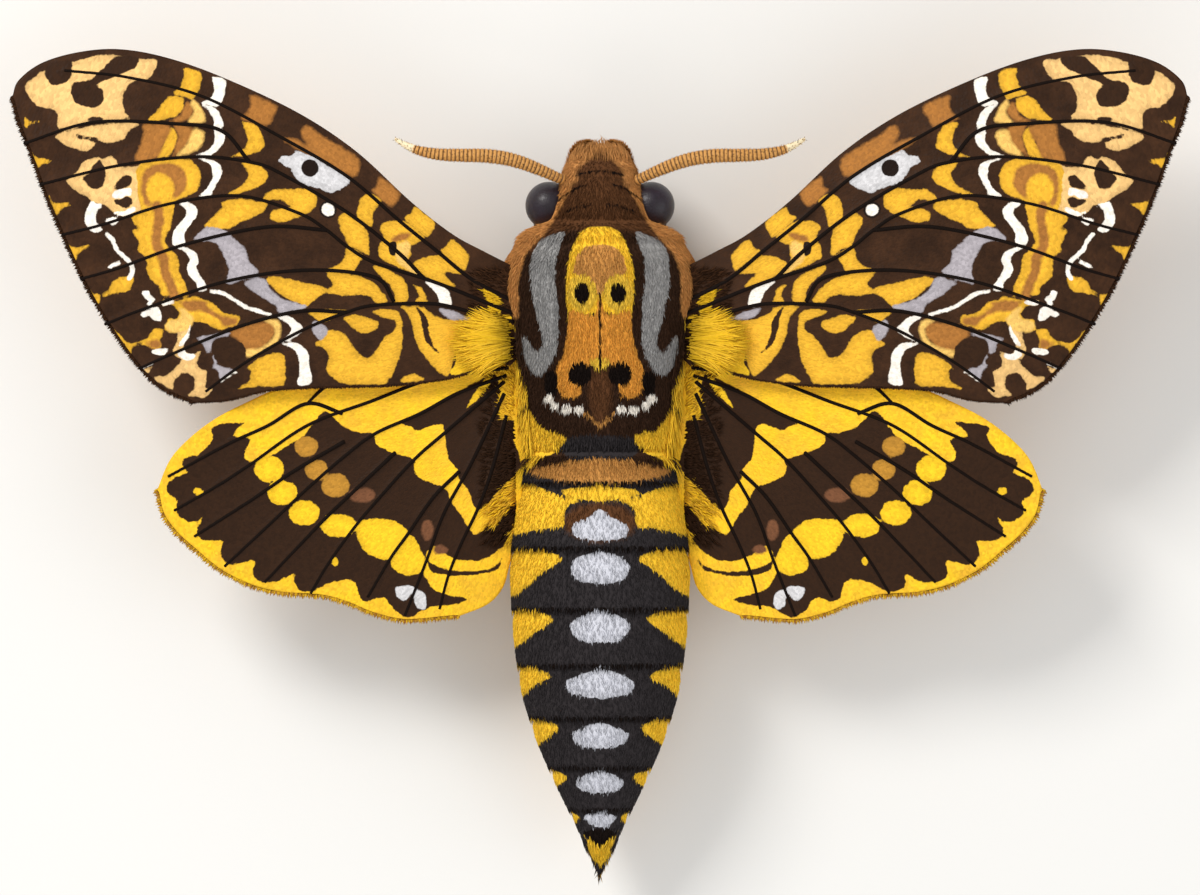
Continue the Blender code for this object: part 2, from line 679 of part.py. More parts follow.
def build_head(thorax_cutter):
    head = trunk("head", HEAD, "brown_fur", HEAD_RINGS, HEAD_SIDES)
    grown_head = trunk("grown_head", HEAD, "brown_fur", HEAD_RINGS, HEAD_SIDES, GAP)
    across, back, up = EYE_CENTRE
    for side, sign in SIDES.items():
        place = (sign * across, back, up)
        eye = ball(f"eye_{side}", place, [EYE_RADIUS] * 3, "eye")
        socket = ball("socket", place, [EYE_RADIUS + GAP] * 3, "brown_fur")
        cut(eye, thorax_cutter)
        cut(head, socket)
        remove(socket)
    cut(head, thorax_cutter)
    path = even_points(ANTENNA_PATH, ANTENNA_STEP)
    antenna = tube("antenna_left", path, spread(ANTENNA_RADII, len(path)), "antenna", ANTENNA_SIDES)
    path = even_points(PALP_PATH, PALP_STEP)
    palp = tube("palp_left", path, spread(PALP_RADII, len(path)), "brown_fur", PALP_SIDES, (1, 0, 0))
    for piece in (antenna, palp):
        cut(piece, grown_head)
        mirrored(piece, piece.name.replace("left", "right"))
    path = coil_path()
    radii = spread(PROBOSCIS_RADII, len(path))
    cut(tube("proboscis", path, radii, "proboscis", LEG_SIDES, (1, 0, 0)), grown_head)
    remove(grown_head)


def skin_spot(back, angle, lift):
    """A point over the hind trunk, that far off the thorax or, where it stands further out, the abdomen."""
    spots = []
    for stations in (THORAX, ABDOMEN):
        if stations[0][0] <= back <= stations[-1][0]:
            width, height, centre = trunk_profile(stations, [back])[0]
            spots.append(Vector(trunk_spot(back, width + lift, height + lift, centre, angle)))
    return max(spots, key=lambda spot: (spot - Vector((0, back, ABDOMEN[0][3]))).length)


def thorax_locks(draw):
    """Tiers of locks that lie back over the thorax and end over the abdomen's first ring."""
    locks = []
    for root, tip, lowest, highest, count in THORAX_TIERS:
        for index in range(count):
            share = index / (count - 1)
            for sign in SIDES.values():
                angle = math.radians(lowest + (highest - lowest) * share + draw.uniform(-2.5, 2.5))
                end = tip + draw.uniform(-0.6, 0.2)
                places = ((root, -ROOT_DEPTH), ((root + end) / 2, LOCK_LIFT), (end, LOCK_LIFT + 0.3))
                points = [skin_spot(back, angle, lift) for back, lift in places]
                if sign < 0:
                    points = [Vector((-p.x, p.y, p.z)) for p in points]
                facing = Vector((sign * math.cos(angle), 0, math.sin(angle)))
                locks.append(lock(points, LOCK_HALF_WIDTH, LOCK_HALF_THICKNESS, facing, "dark_fur"))
    return locks


def over_forewing(across, back, lift):
    """A point that stands a gap and a lift over the forewing's ridges."""
    clear = WING_THICKNESS / 2 + RIDGE_HEIGHT + GAP + lift
    return Vector((across, back, wing_height(FOREWING_FORM, across, back) + clear))


def wing_fan(thorax_cutter, draw):
    """The fan of locks that spreads from the thorax over the forewing's root."""
    pad = over_forewing(*FAN_PAD, FAN_PAD_RADII[2])
    fan = ball("wing_tuft_left", pad, FAN_PAD_RADII, "yellow_tuft")
    shares = np.linspace(0, len(FAN_ROOTS) - 1, FAN_LOCKS)
    locks = []
    for index, (root, tip) in enumerate(zip(smooth_curve(FAN_ROOTS, shares), smooth_curve(FAN_TIPS, shares))):
        lift = LOCK_HALF_THICKNESS + 0.3 * (index % 2)
        tip = root + (tip - root) * (1 - draw.uniform(0, 0.16))
        middle = (root + tip) / 2
        points = [over_forewing(*root, 0.7), over_forewing(*middle, lift + 0.35), over_forewing(*tip, lift)]
        locks.append(lock(points, FAN_HALF_WIDTH, LOCK_HALF_THICKNESS, Vector((0, 0, 1)), "yellow_tuft"))
    fuse(fan, locks)
    cut(fan, thorax_cutter)
    mirrored(fan, "wing_tuft_right")


def build_wings(thorax_cutter):
    abdomen_cutter = abdomen("grown_abdomen", "abdomen", GAP)
    fore = wing("forewing_left", FOREWING_OUTLINE, FOREWING_VEINS, FOREWING_FORM, "forewing")
    cut(fore, thorax_cutter)
    mirrored(fore, "forewing_right")
    hind = wing("hindwing_left", HINDWING_OUTLINE, HINDWING_VEINS, HINDWING_FORM, "hindwing")
    cut(hind, thorax_cutter, abdomen_cutter)
    mirrored(hind, "hindwing_right")
    remove(abdomen_cutter)


def build_legs(thorax_cutter):
    for pair, joints in LEGS.items():
        for piece in leg(f"{pair}leg_left", pair, joints, thorax_cutter):
            mirrored(piece, piece.name.replace("left", "right"))


def main():
    clear_scene()
    draw = np.random.default_rng(SEED)
    thorax = trunk("thorax", THORAX, "dark_fur", THORAX_RINGS, TRUNK_SIDES)
    thorax_cutter = trunk("grown_thorax", THORAX, "dark_fur", THORAX_RINGS, TRUNK_SIDES, GAP)
    cut(abdomen("abdomen", "abdomen"), thorax_cutter)
    fuse(thorax, thorax_locks(draw))
    build_head(thorax_cutter)
    build_wings(thorax_cutter)
    wing_fan(thorax_cutter, draw)
    build_legs(thorax_cutter)
    remove(thorax_cutter)


main()
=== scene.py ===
"""Greater death's-head hawkmoth at life size, standing on its six legs with all four wings spread.

Metres, +Z up, head towards -Y, the moth's left towards +X. Sizes are written in millimetres as
(across from the midline, back from the origin, up) and scaled when a mesh is made.
"""

import math

import bmesh
import bpy
import numpy as np
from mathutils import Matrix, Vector


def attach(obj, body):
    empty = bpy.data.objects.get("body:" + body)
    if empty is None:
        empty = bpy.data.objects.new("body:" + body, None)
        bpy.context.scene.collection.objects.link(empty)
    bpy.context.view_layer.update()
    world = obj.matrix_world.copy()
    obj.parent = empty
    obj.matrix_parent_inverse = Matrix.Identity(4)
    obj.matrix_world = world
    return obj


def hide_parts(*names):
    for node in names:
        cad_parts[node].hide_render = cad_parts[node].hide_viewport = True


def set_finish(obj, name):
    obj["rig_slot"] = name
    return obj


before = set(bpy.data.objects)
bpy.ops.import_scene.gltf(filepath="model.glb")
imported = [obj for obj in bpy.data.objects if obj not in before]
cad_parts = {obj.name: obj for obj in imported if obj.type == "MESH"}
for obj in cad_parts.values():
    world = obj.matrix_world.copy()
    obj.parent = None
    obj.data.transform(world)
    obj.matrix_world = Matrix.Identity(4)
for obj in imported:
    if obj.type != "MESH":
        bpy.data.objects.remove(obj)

bl_info = {
    "name": "Greater death's-head hawkmoth",
    "version": (1, 0, 0),
    "blender": (4, 5, 0),
    "location": "3D View > Sidebar > Hawkmoth",
    "description": "Dresses the still model of the hawkmoth with its wings, scales, fur, eyes and legs",
    "category": "Object",
}

MM = 0.001
BODY = "root"
SEED = 29
TINY = 1e-9

# Trunk stations: back, half width, half height, height of the centre
THORAX = (
    (-24.5, 3.6, 3.1, 11.4), (-23.9, 6.4, 4.9, 11.5), (-22.8, 8.4, 5.9, 11.6), (-21.8, 8.9, 6.0, 11.7),
    (-20.2, 9.6, 6.7, 11.9), (-17.2, 9.9, 7.1, 11.9), (-13.6, 9.3, 7.2, 11.8), (-9.6, 8.9, 7.1, 11.7),
    (-5.6, 8.6, 6.8, 11.5), (-2.2, 8.2, 6.4, 11.4), (0.2, 7.2, 5.6, 11.3), (1.2, 4.6, 3.6, 11.3),
)
HEAD = (
    (-31.6, 1.6, 1.4, 10.2), (-31.0, 2.9, 2.6, 10.3), (-29.6, 4.0, 3.7, 10.6), (-27.6, 4.6, 4.4, 10.9),
    (-25.4, 5.4, 4.7, 11.1), (-23.2, 5.8, 4.6, 11.1), (-21.4, 4.6, 3.7, 11.0),
)
ABDOMEN = (
    (-0.8, 7.6, 6.2, 11.3), (2.2, 8.2, 6.8, 11.2), (8.7, 9.2, 7.4, 11.0), (14.4, 9.15, 7.4, 10.7),
    (19.2, 8.75, 7.1, 10.4), (23.7, 8.0, 6.5, 10.0), (27.6, 6.8, 5.6, 9.6), (31.2, 5.3, 4.5, 9.2),
    (34.8, 3.6, 3.1, 8.8), (38.4, 1.9, 1.6, 8.5), (41.2, 0.5, 0.45, 8.4),
)
SEGMENT_ENDS = (-0.8, 2.15, 8.7, 14.8, 20.45, 25.75, 30.75, 35.05, 41.2)
SEGMENT_STEP = 0.36
TRUNK_SQUARENESS = 2.25
TRUNK_SEGMENTS = 144
THORAX_END = 0.6
HEAD_END = -24.3

EYE_CENTRE = (5.15, -25.7, 10.9)
EYE_RADIUS = 2.4
PALP_PATH = ((2.1, -26.5, 6.5), (2.3, -28.9, 6.6), (1.75, -30.9, 7.8), (1.15, -31.55, 9.7))
PALP_RADII = (0.8, 1.2, 1.25, 0.65)
ANTENNA_PATH = (
    (3.0, -27.9, 12.2), (4.6, -28.6, 12.9), (6.7, -29.5, 13.4), (9.0, -30.25, 13.8),
    (11.4, -30.6, 14.0), (13.8, -30.65, 14.1), (16.2, -30.75, 14.1), (18.2, -31.15, 14.0),
    (19.7, -31.8, 13.7), (20.5, -32.3, 13.3),
)
ANTENNA_RADII = (0.5, 0.55, 0.64, 0.7, 0.72, 0.7, 0.66, 0.58, 0.42, 0.18)
ANTENNA_JOINTS = 46
PROBOSCIS_CENTRE = (0.0, -26.4, 4.35)
PROBOSCIS_TURNS = 1.6
PROBOSCIS_COIL = (1.75, 0.45)
PROBOSCIS_RADII = (0.5, 0.28)

# Leg joints: root in the thorax, knee, ankle and toe
LEGS = {
    "fore": ((2.2, -17.6, 5.2), (7.0, -21.3, 5.5), (5.4, -25.3, 1.3), (2.4, -30.3, 0.42)),
    "mid": ((2.8, -12.6, 5.0), (12.6, -13.2, 8.4), (17.6, -13.4, 1.3), (25.2, -12.2, 0.42)),
    "hind": ((2.8, -6.4, 5.2), (12.0, -1.2, 8.0), (15.4, 6.0, 1.3), (17.4, 13.4, 0.42)),
}
FEMUR_RADII = (0.85, 1.0, 0.9, 0.62)
TIBIA_RADII = (0.6, 0.68, 0.62, 0.5)
TARSUS_JOINTS = 5
TARSUS_RADII = (0.5, 0.38)
# Spurs of each shin: place along it, side it leaves by, length
SPURS = {
    "fore": ((0.62, 1, 1.5),),
    "mid": ((0.8, 1, 2.0), (0.8, -1, 1.6)),
    "hind": ((0.55, 1, 1.8), (0.55, -1, 1.4), (0.82, 1, 2.0), (0.82, -1, 1.6)),
}
CLAW_REACH = 0.95
CLAW_SPREAD = 0.55

# Wing outlines round from the front of the root, with the numbers of the corners between their four sides
FOREWING_OUTLINE = (
    (7.4, -18.9), (11.6, -21.0), (14.8, -22.75), (18.9, -25.95), (24.4, -31.0), (30.3, -34.9),
    (37.8, -38.4), (43.4, -40.35), (48.0, -41.15), (52.0, -40.85), (55.7, -39.75), (58.0, -38.0),
    (58.6, -36.4), (58.1, -33.8), (56.9, -30.4), (55.5, -26.3), (53.8, -22.2), (51.6, -17.4),
    (48.9, -12.9), (46.1, -9.2), (43.6, -7.0), (40.6, -5.95), (37.0, -6.2), (33.2, -7.1), (28.9, -7.4),
    (20.7, -7.65), (14.9, -8.4), (10.4, -9.7), (7.4, -10.8),
)
FOREWING_CORNERS = (0, 12, 21, 28)
HINDWING_OUTLINE = (
    (7.2, -9.9), (10.6, -10.8), (15.0, -10.4), (20.7, -9.6), (27.0, -8.8), (32.2, -7.3), (35.3, -5.95),
    (38.4, -4.35), (41.0, -2.4), (43.0, -0.2), (44.3, 2.8), (43.9, 5.3), (42.6, 7.3), (40.9, 8.95),
    (38.4, 11.1), (35.3, 12.75), (32.0, 13.6), (28.2, 13.85), (25.6, 14.5), (22.6, 15.65), (19.2, 16.2),
    (14.1, 15.5), (11.4, 14.4), (9.9, 12.9), (9.2, 10.9), (8.2, 6.0), (7.6, 1.0), (7.2, -4.0),
)
HINDWING_CORNERS = (0, 10, 21, 27)
FOREWING_VEINS = (
    ((8.6, -16.0), (12.8, -18.2), (16.4, -21.1), (20.0, -24.0), (25.3, -28.5), (31.9, -32.4),
     (39.6, -36.4), (47.0, -38.3), (53.4, -39.0)),
    ((8.6, -14.8), (11.4, -15.9), (14.6, -17.2), (17.6, -18.3), (22.6, -19.9), (25.3, -21.5),
     (27.3, -23.1), (30.1, -24.8), (36.0, -26.5), (42.9, -25.7), (49.3, -23.7), (53.6, -22.6)),
    ((17.6, -18.3), (20.3, -21.0), (25.3, -24.9), (31.6, -28.6), (34.6, -29.8), (40.2, -30.4),
     (48.0, -29.5), (55.8, -27.6)),
    ((35.0, -29.9), (37.8, -33.0), (42.6, -33.7), (50.6, -33.8), (57.4, -31.7)),
    ((27.3, -23.1), (33.2, -23.4), (41.2, -21.7), (48.0, -19.3), (51.8, -18.2)),
    ((20.6, -16.0), (22.5, -18.4), (29.2, -19.1), (37.2, -18.0), (45.3, -15.3), (49.4, -13.7)),
    ((8.6, -14.0), (11.0, -14.4), (14.6, -15.4), (17.3, -15.8), (22.6, -15.6), (25.3, -14.9),
     (28.9, -13.5), (32.4, -11.7), (36.0, -9.5), (39.4, -7.0)),
    ((25.3, -14.9), (30.0, -15.0), (35.9, -13.5), (42.6, -10.8), (46.0, -9.3)),
)
HINDWING_VEINS = (
    ((9.2, -9.4), (16.4, -8.4), (23.0, -6.0), (29.3, -3.6), (35.0, 0.3), (38.4, 2.5), (42.6, 4.9)),
    ((25.8, -4.8), (29.3, -5.8), (33.2, -3.6), (37.1, -1.8), (43.2, 1.5)),
    ((27.4, -7.6), (28.2, -6.9), (29.3, -5.8)),
    ((9.4, -8.6), (14.1, -6.9), (18.0, -4.8), (22.5, -2.8), (25.6, -0.5), (29.4, 2.8), (33.2, 6.4),
     (37.6, 10.5)),
    ((25.6, -2.0), (30.7, 1.0), (34.5, 3.6), (40.6, 7.5)),
    ((9.6, -8.0), (15.4, -3.0), (18.5, -0.3), (21.8, 3.3), (24.6, 6.6), (27.2, 10.2), (29.0, 13.2)),
    ((20.5, -0.9), (23.6, 2.0), (26.9, 5.1), (30.2, 8.5), (33.6, 12.1)),
    ((9.6, -6.8), (12.8, 0.0), (15.6, 5.1), (17.2, 9.4), (18.4, 12.5), (19.6, 15.5)),
    ((14.1, 1.0), (16.7, 3.6), (19.2, 7.2), (21.0, 9.7), (23.3, 13.6)),
    ((9.4, -4.6), (10.7, 0.4), (12.1, 4.4), (13.9, 8.2), (15.2, 11.4), (16.1, 14.8)),
)
# Height of a wing's middle surface: at the root, its rise outwards and how that eases, its droop
# backwards, its arch from front to back, and where that is highest at the root with its shift outwards
FOREWING_FORM = {
    "root": 14.5, "rise": 0.13, "ease": 0.0013, "droop": 0.02, "arch": 0.006, "mid": (-15.0, -0.24),
}
HINDWING_FORM = {
    "root": 12.6, "rise": 0.085, "ease": 0.0009, "droop": 0.05, "arch": 0.004, "mid": (0.0, -0.02),
}
ROOT_ACROSS = 9.0

# The fan of long hair over a forewing's root: its roots and its tips, front to back
FAN_ROOTS = ((9.9, -14.0), (9.7, -12.2), (9.5, -10.6))
FAN_TIPS = ((12.9, -14.8), (15.0, -12.0), (13.3, -8.9))

# Camera frame: 120 mm of the floor plane across the picture, seen from straight above
CAMERA_HEIGHT = 0.9
FRAME_WIDTH = 0.12
FRAME_CENTRE = (0.0, -0.0014)
SENSOR_WIDTH = 36.0

# Plans of the markings: across and back at the plan's corner, plan units in a millimetre, and whether the
# first number runs outwards (1) or inwards (-1)
OUTER = (60.0, -43.15, 37.33, -1)
INNER = (36.0, -31.15, 56.0, -1)
HIND = (46.0, -9.15, 39.2, -1)
CORNER = (49.5, -17.65, 120.6, -1)
RINGS = (54.0, -31.15, 156.8, -1)
FRONT = (0.0, -34.15, 43.55, 1)
REAR = (0.0, -4.15, 33.36, 1)

# Marks from the lowest layer to the highest: the layer, its plan and its shapes in the plan's units.
# A row of points is a smooth closed outline. An oval has its middle and half sizes, a stroke its width.
FOREWING_MARKS = (
    ("cream", OUTER,
     ((98, 215), (130, 182), (172, 155), (270, 125), (360, 100), (430, 97), (520, 110), (585, 115),
      (583, 145), (560, 180), (540, 190), (495, 197), (470, 230), (462, 265), (470, 310), (482, 335),
      (350, 345), (228, 375), (222, 330), (205, 300), (155, 290), (120, 260)),
     ((212, 400), (250, 385), (330, 365), (420, 352), (522, 352), (490, 375), (470, 405), (440, 420),
      (400, 425), (365, 418), (355, 440), (320, 455), (290, 448), (245, 430))),
    ("cream", RINGS,
     ((130, 490), (270, 385), (350, 270), (400, 200), (480, 170), (560, 135), (640, 130), (665, 165),
      (700, 150), (780, 120), (850, 130), (900, 190), (960, 270), (1200, 270), (1450, 230), (1450, 940),
      (1250, 990), (1050, 1050), (900, 1010), (830, 960), (740, 880), (640, 860), (530, 820), (430, 740),
      (300, 670), (200, 590))),
    ("cream", CORNER,
     ((1040, 470), (1020, 600), (965, 700), (930, 750), (870, 800), (830, 810), (865, 700), (885, 620),
      (870, 550), (930, 520), (990, 480)),
     ((850, 820), (950, 750), (980, 805), (1030, 840), (1100, 825), (1165, 800), (1120, 930), (1150, 1000),
      (1235, 1050), (1215, 1240), (1310, 1230), (1220, 1345), (1100, 1345), (1000, 1325), (1080, 1250),
      (1092, 1150), (1060, 1090), (960, 1060), (900, 1090), (830, 1180), (820, 1260), (700, 1200),
      (600, 1110), (740, 1095), (850, 1000), (930, 910), (880, 880)),
     ((470, 1020), (570, 985), (530, 1060))),
    ("umber", OUTER,
     ((172, 160), (185, 135), (265, 115), (272, 150), (270, 175), (250, 200), (205, 210), (182, 190)),
     ((440, 100), (518, 105), (515, 130), (495, 150), (440, 175), (400, 190), (365, 210), (385, 225),
      (392, 255), (380, 285), (345, 293), (300, 282), (275, 255), (272, 210), (300, 195), (340, 190),
      (370, 165), (410, 125)),
     ((290, 392), (330, 400), (375, 410), (365, 425), (330, 412), (300, 408)),
     ("oval", 362, 340, 32, 12)),
    ("umber", RINGS,
     ((385, 450), (500, 350), (520, 290), (640, 170), (690, 220), (720, 280), (745, 380), (710, 520),
      (680, 600), (580, 630), (470, 590), (450, 540)),
     ((860, 600), (950, 480), (1040, 410), (1130, 415), (1150, 470), (1110, 580), (1000, 625), (930, 640)),
     ((880, 780), (980, 785), (1060, 740), (1140, 770), (1160, 830), (1130, 880), (1050, 925), (950, 880),
      (880, 830))),
    ("gold", OUTER,
     ((690, 145), (750, 162), (748, 215), (725, 260), (700, 255), (650, 240), (675, 215), (688, 180)),
     ((620, 262), (650, 250), (690, 262), (683, 300), (660, 325), (600, 340), (555, 340), (590, 305)),
     ((640, 365), (665, 400), (650, 450), (640, 470), (590, 480), (615, 430)),
     ((520, 510), (600, 488), (700, 485), (740, 510), (752, 550), (745, 590), (715, 620), (640, 645),
      (545, 680), (525, 640), (520, 580)),
     ((500, 700), (522, 740), (500, 755), (525, 800), (520, 830), (550, 850), (555, 905), (570, 935),
      (600, 960), (610, 990), (700, 985), (695, 950), (672, 900), (668, 850), (640, 820), (620, 790),
      (640, 740), (650, 690), (655, 640), (600, 655)),
     ((905, 345), (960, 360), (985, 415), (985, 440), (945, 465), (860, 480), (905, 455), (925, 420),
      (920, 380)),
     ((905, 497), (960, 500), (998, 530), (995, 565), (960, 590), (890, 615), (850, 618), (905, 585),
      (925, 560), (930, 530)),
     ((770, 738), (800, 700), (830, 665), (838, 645), (900, 632), (960, 640), (1000, 650), (985, 680),
      (950, 700), (900, 720), (850, 745)),
     ((985, 630), (1020, 600), (1080, 595), (1150, 595), (1180, 615), (1180, 655), (1150, 685),
      (1100, 705), (1060, 720), (1015, 710), (1012, 685), (1040, 670), (1085, 665), (1070, 650),
      (1050, 635), (1000, 640)),
     ((1060, 1213), (1010, 1208), (960, 1230), (920, 1265), (940, 1270), (930, 1310), (890, 1340),
      (960, 1330), (1055, 1325), (1065, 1270)),
     ((380, 995), (415, 965), (425, 940), (460, 925), (495, 920), (500, 945), (480, 975), (430, 985)),
     ((97, 330), (115, 342), (155, 345), (118, 355), (105, 370)),
     ((125, 458), (140, 478), (205, 490), (165, 505), (150, 518), (138, 490)),
     ((190, 620), (205, 645), (272, 652), (235, 670), (218, 692), (205, 665)),
     ((252, 788), (275, 812), (345, 805), (300, 835), (285, 862), (268, 830)),
     ((330, 955), (350, 985), (380, 990), (370, 1028), (350, 1000))),
    ("gold", CORNER,
     ((700, 190), (850, 195), (1080, 135), (1180, 175), (1300, 215), (1370, 285), (1450, 345), (1620, 380),
      (1620, 470), (1500, 510), (1380, 545), (1250, 470), (1100, 440), (1040, 480), (1000, 530),
      (880, 570), (770, 560), (720, 540), (750, 470), (740, 440), (790, 405), (850, 425), (905, 370),
      (900, 320), (860, 265), (800, 235), (710, 250)),
     ((575, 560), (600, 530), (650, 525), (720, 555), (690, 620), (665, 690), (690, 750), (620, 780),
      (540, 740), (440, 715), (340, 765), (310, 860), (230, 750), (105, 545), (160, 570), (230, 650),
      (290, 695), (400, 690), (510, 650))),
    ("gold", INNER,
     ((680, 270), (720, 248), (765, 260), (795, 290), (760, 330), (745, 380), (735, 430), (700, 420),
      (660, 390), (660, 330)),
     ((550, 390), (570, 365), (600, 358), (650, 395), (700, 430), (718, 470), (722, 590), (680, 570),
      (610, 535), (590, 490), (560, 430)),
     ((600, 545), (640, 560), (688, 595), (660, 640), (630, 690), (560, 690), (475, 683), (540, 650),
      (580, 610)),
     ((785, 430), (830, 402), (890, 398), (940, 412), (1000, 455), (1030, 495), (985, 522), (950, 540),
      (955, 585), (945, 625), (985, 670), (1020, 705), (940, 680), (860, 650), (780, 600), (785, 540),
      (800, 490)),
     ((750, 645), (830, 670), (900, 710), (935, 760), (940, 800), (932, 850), (870, 853), (860, 800),
      (825, 745), (770, 690)),
     ((975, 318), (1020, 350), (1090, 410), (1065, 470), (1045, 490), (1000, 460), (920, 385), (955, 360)),
     ((1185, 503), (1230, 535), (1280, 590), (1270, 640), (1255, 680), (1200, 640), (1125, 570),
      (1150, 550)),
     ((970, 640), (1020, 605), (1110, 590), (1170, 620), (1250, 690), (1145, 690), (1190, 745),
      (1195, 770), (1100, 740), (1020, 700)),
     ((970, 755), (1020, 775), (1040, 830), (1045, 855), (985, 855), (1000, 820), (990, 780)),
     ((490, 688), (600, 692), (680, 710), (740, 740), (800, 800), (825, 852), (760, 858), (740, 830),
      (680, 810), (600, 815), (500, 805), (495, 780), (520, 750)),
     ((150, 730), (190, 710), (260, 720), (340, 740), (430, 755), (480, 780), (490, 800), (440, 825),
      (375, 880), (330, 860), (260, 830), (210, 790)),
     ((390, 905), (500, 895), (610, 905), (560, 920), (460, 965), (410, 930)),
     ((425, 1080), (450, 1060), (490, 1010), (560, 1020), (600, 1045), (640, 1110), (690, 1160),
      (730, 1160), (770, 1110), (810, 1050), (865, 1010), (868, 960), (800, 935), (745, 905), (800, 890),
      (870, 900), (900, 930), (908, 1000), (905, 1100), (880, 1200), (830, 1290), (780, 1312), (600, 1308),
      (540, 1290), (490, 1240), (490, 1190), (498, 1150), (470, 1110), (430, 1095)),
     ((585, 935), (660, 925), (740, 950), (775, 965), (765, 1000), (700, 1025), (650, 1010), (610, 975)),
     ((905, 875), (1030, 878), (1060, 910), (1140, 945), (1270, 960), (1285, 975), (1260, 1030),
      (1220, 1090), (1195, 1170), (1165, 1260), (1130, 1255), (1070, 1200), (1010, 1120), (975, 1040),
      (960, 960), (935, 910)),
     ((900, 1300), (930, 1265), (970, 1252), (1000, 1265), (1030, 1290))),
    ("ochre", OUTER,
     ((700, 270), (725, 300), (700, 340), (640, 347), (672, 325), (690, 295)),
     ((545, 355), (640, 362), (615, 430), (590, 480), (510, 495), (525, 440), (540, 390)),
     ((655, 350), (725, 375), (710, 420), (665, 465), (650, 470), (665, 420), (668, 395)),
     ((532, 575), (540, 535), (575, 508), (630, 500), (680, 515), (700, 550), (698, 590), (680, 615),
      (650, 632), (655, 600), (645, 565), (615, 540), (585, 540), (560, 565), (550, 600), (560, 640),
      (575, 655), (550, 660), (536, 620)),
     ("stroke", 36, ((590, 660), (600, 700), (590, 760), (590, 810), (615, 850), (620, 900), (640, 950),
      (655, 990))),
     ((935, 245), (975, 258), (1032, 287), (1020, 325), (998, 362), (960, 350), (905, 333), (930, 305),
      (938, 275)),
     ((1130, 370), (1150, 360), (1200, 395), (1300, 455), (1340, 485), (1338, 530), (1325, 548),
      (1300, 545), (1200, 490), (1110, 445), (1060, 410), (1100, 410), (1145, 428), (1125, 395)),
     ((860, 1130), (920, 1100), (1000, 1090), (1030, 1115), (1020, 1150), (970, 1190), (920, 1200),
      (890, 1160))),
    ("ochre", CORNER,
     ((900, 205), (1000, 190), (1130, 185), (1250, 215), (1240, 250), (1340, 330), (1450, 385),
      (1600, 400), (1600, 470), (1440, 500), (1390, 430), (1250, 350), (1150, 315), (1030, 325),
      (970, 280)),
     ((510, 700), (640, 655), (680, 745), (610, 770), (550, 740))),
    ("ochre", INNER,
     ((785, 155), (890, 235), (875, 290), (840, 315), (740, 235), (765, 205)),
     ((850, 510), (870, 480), (940, 465), (960, 480), (900, 515))),
    ("light", OUTER,
     ((725, 262), (750, 290), (768, 345), (705, 350), (728, 310), (715, 280)),
     ((725, 375), (765, 385), (760, 420), (735, 455), (665, 475), (700, 430)),
     ((985, 1080), (1040, 1085), (1050, 1130), (1030, 1170), (960, 1210), (925, 1222), (920, 1195),
      (980, 1185), (1020, 1150), (1025, 1110))),
    ("light", CORNER,
     ((740, 480), (800, 420), (870, 425), (925, 360), (900, 280), (960, 290), (1040, 350), (1080, 430),
      (1010, 530), (880, 575), (760, 555))),
    ("light", INNER,
     ((870, 540), (940, 510), (952, 560), (940, 620), (1010, 705), (960, 690), (880, 620))),
    ("lilac", OUTER,
     ((730, 785), (765, 745), (800, 738), (850, 757), (900, 800), (925, 830), (935, 870), (968, 905),
      (930, 925), (850, 948), (858, 910), (850, 870), (820, 810), (790, 790)),
     ((915, 940), (985, 925), (1010, 965), (1060, 1005), (1145, 1030), (1125, 1045), (1045, 1058),
      (1030, 1030), (965, 990), (935, 965)),
     ((1175, 1085), (1215, 1105), (1225, 1125), (1205, 1155), (1190, 1155), (1165, 1120))),
    ("lilac", CORNER,
     ((1110, 645), (1300, 600), (1500, 570), (1500, 605), (1340, 650), (1290, 740), (1275, 820),
      (1215, 800), (1200, 740), (1165, 690)),
     ((1300, 850), (1350, 850), (1355, 940), (1400, 985), (1550, 1020), (1480, 1080), (1395, 1140),
      (1365, 1040), (1305, 985), (1330, 930))),
    ("lilac", INNER,
     ((1120, 888), (1190, 900), (1260, 930), (1305, 950), (1240, 952), (1160, 940))),
    ("pearl", OUTER,
     ((1043, 490), (1055, 475), (1090, 470), (1110, 450), (1140, 462), (1200, 490), (1255, 525),
      (1310, 560), (1290, 585), (1260, 600), (1230, 608), (1180, 590), (1130, 575), (1105, 555),
      (1085, 520), (1060, 505))),
    ("dark", OUTER,
     ("oval", 1158, 517, 33, 33), ("oval", 1226, 672, 33, 33)),
    ("dark", INNER,
     ((835, 525), (875, 520), (870, 590), (840, 580))),
    ("spot", INNER,
     ((985, 878), (1018, 900), (1048, 950), (1060, 1030), (1082, 1092), (1116, 1138), (1074, 1112),
      (1036, 1060), (1016, 990), (1008, 930))),
    ("spot", OUTER,
     ((800, 1160), (840, 1150), (885, 1155), (915, 1185), (920, 1225), (900, 1250), (850, 1255),
      (815, 1240), (795, 1200))),
    ("white", OUTER,
     ("oval", 1226, 672, 24, 24),
     ((795, 180), (842, 190), (838, 250), (815, 285), (755, 275), (790, 255), (802, 220)),
     ((760, 285), (805, 295), (830, 330), (835, 365), (805, 375), (800, 340), (780, 305)),
     ((805, 378), (840, 380), (840, 420), (810, 455), (780, 475), (735, 472), (775, 455), (800, 430),
      (805, 400)),
     ((740, 485), (790, 487), (825, 505), (830, 540), (810, 580), (795, 610), (800, 620), (745, 625),
      (775, 595), (795, 560), (795, 530), (785, 500)),
     ((670, 645), (710, 645), (738, 670), (735, 700), (705, 740), (690, 770), (695, 795), (655, 808),
      (648, 770), (665, 735), (695, 700), (700, 675)),
     ((656, 812), (695, 812), (735, 835), (745, 865), (735, 890), (755, 925), (778, 965), (745, 975),
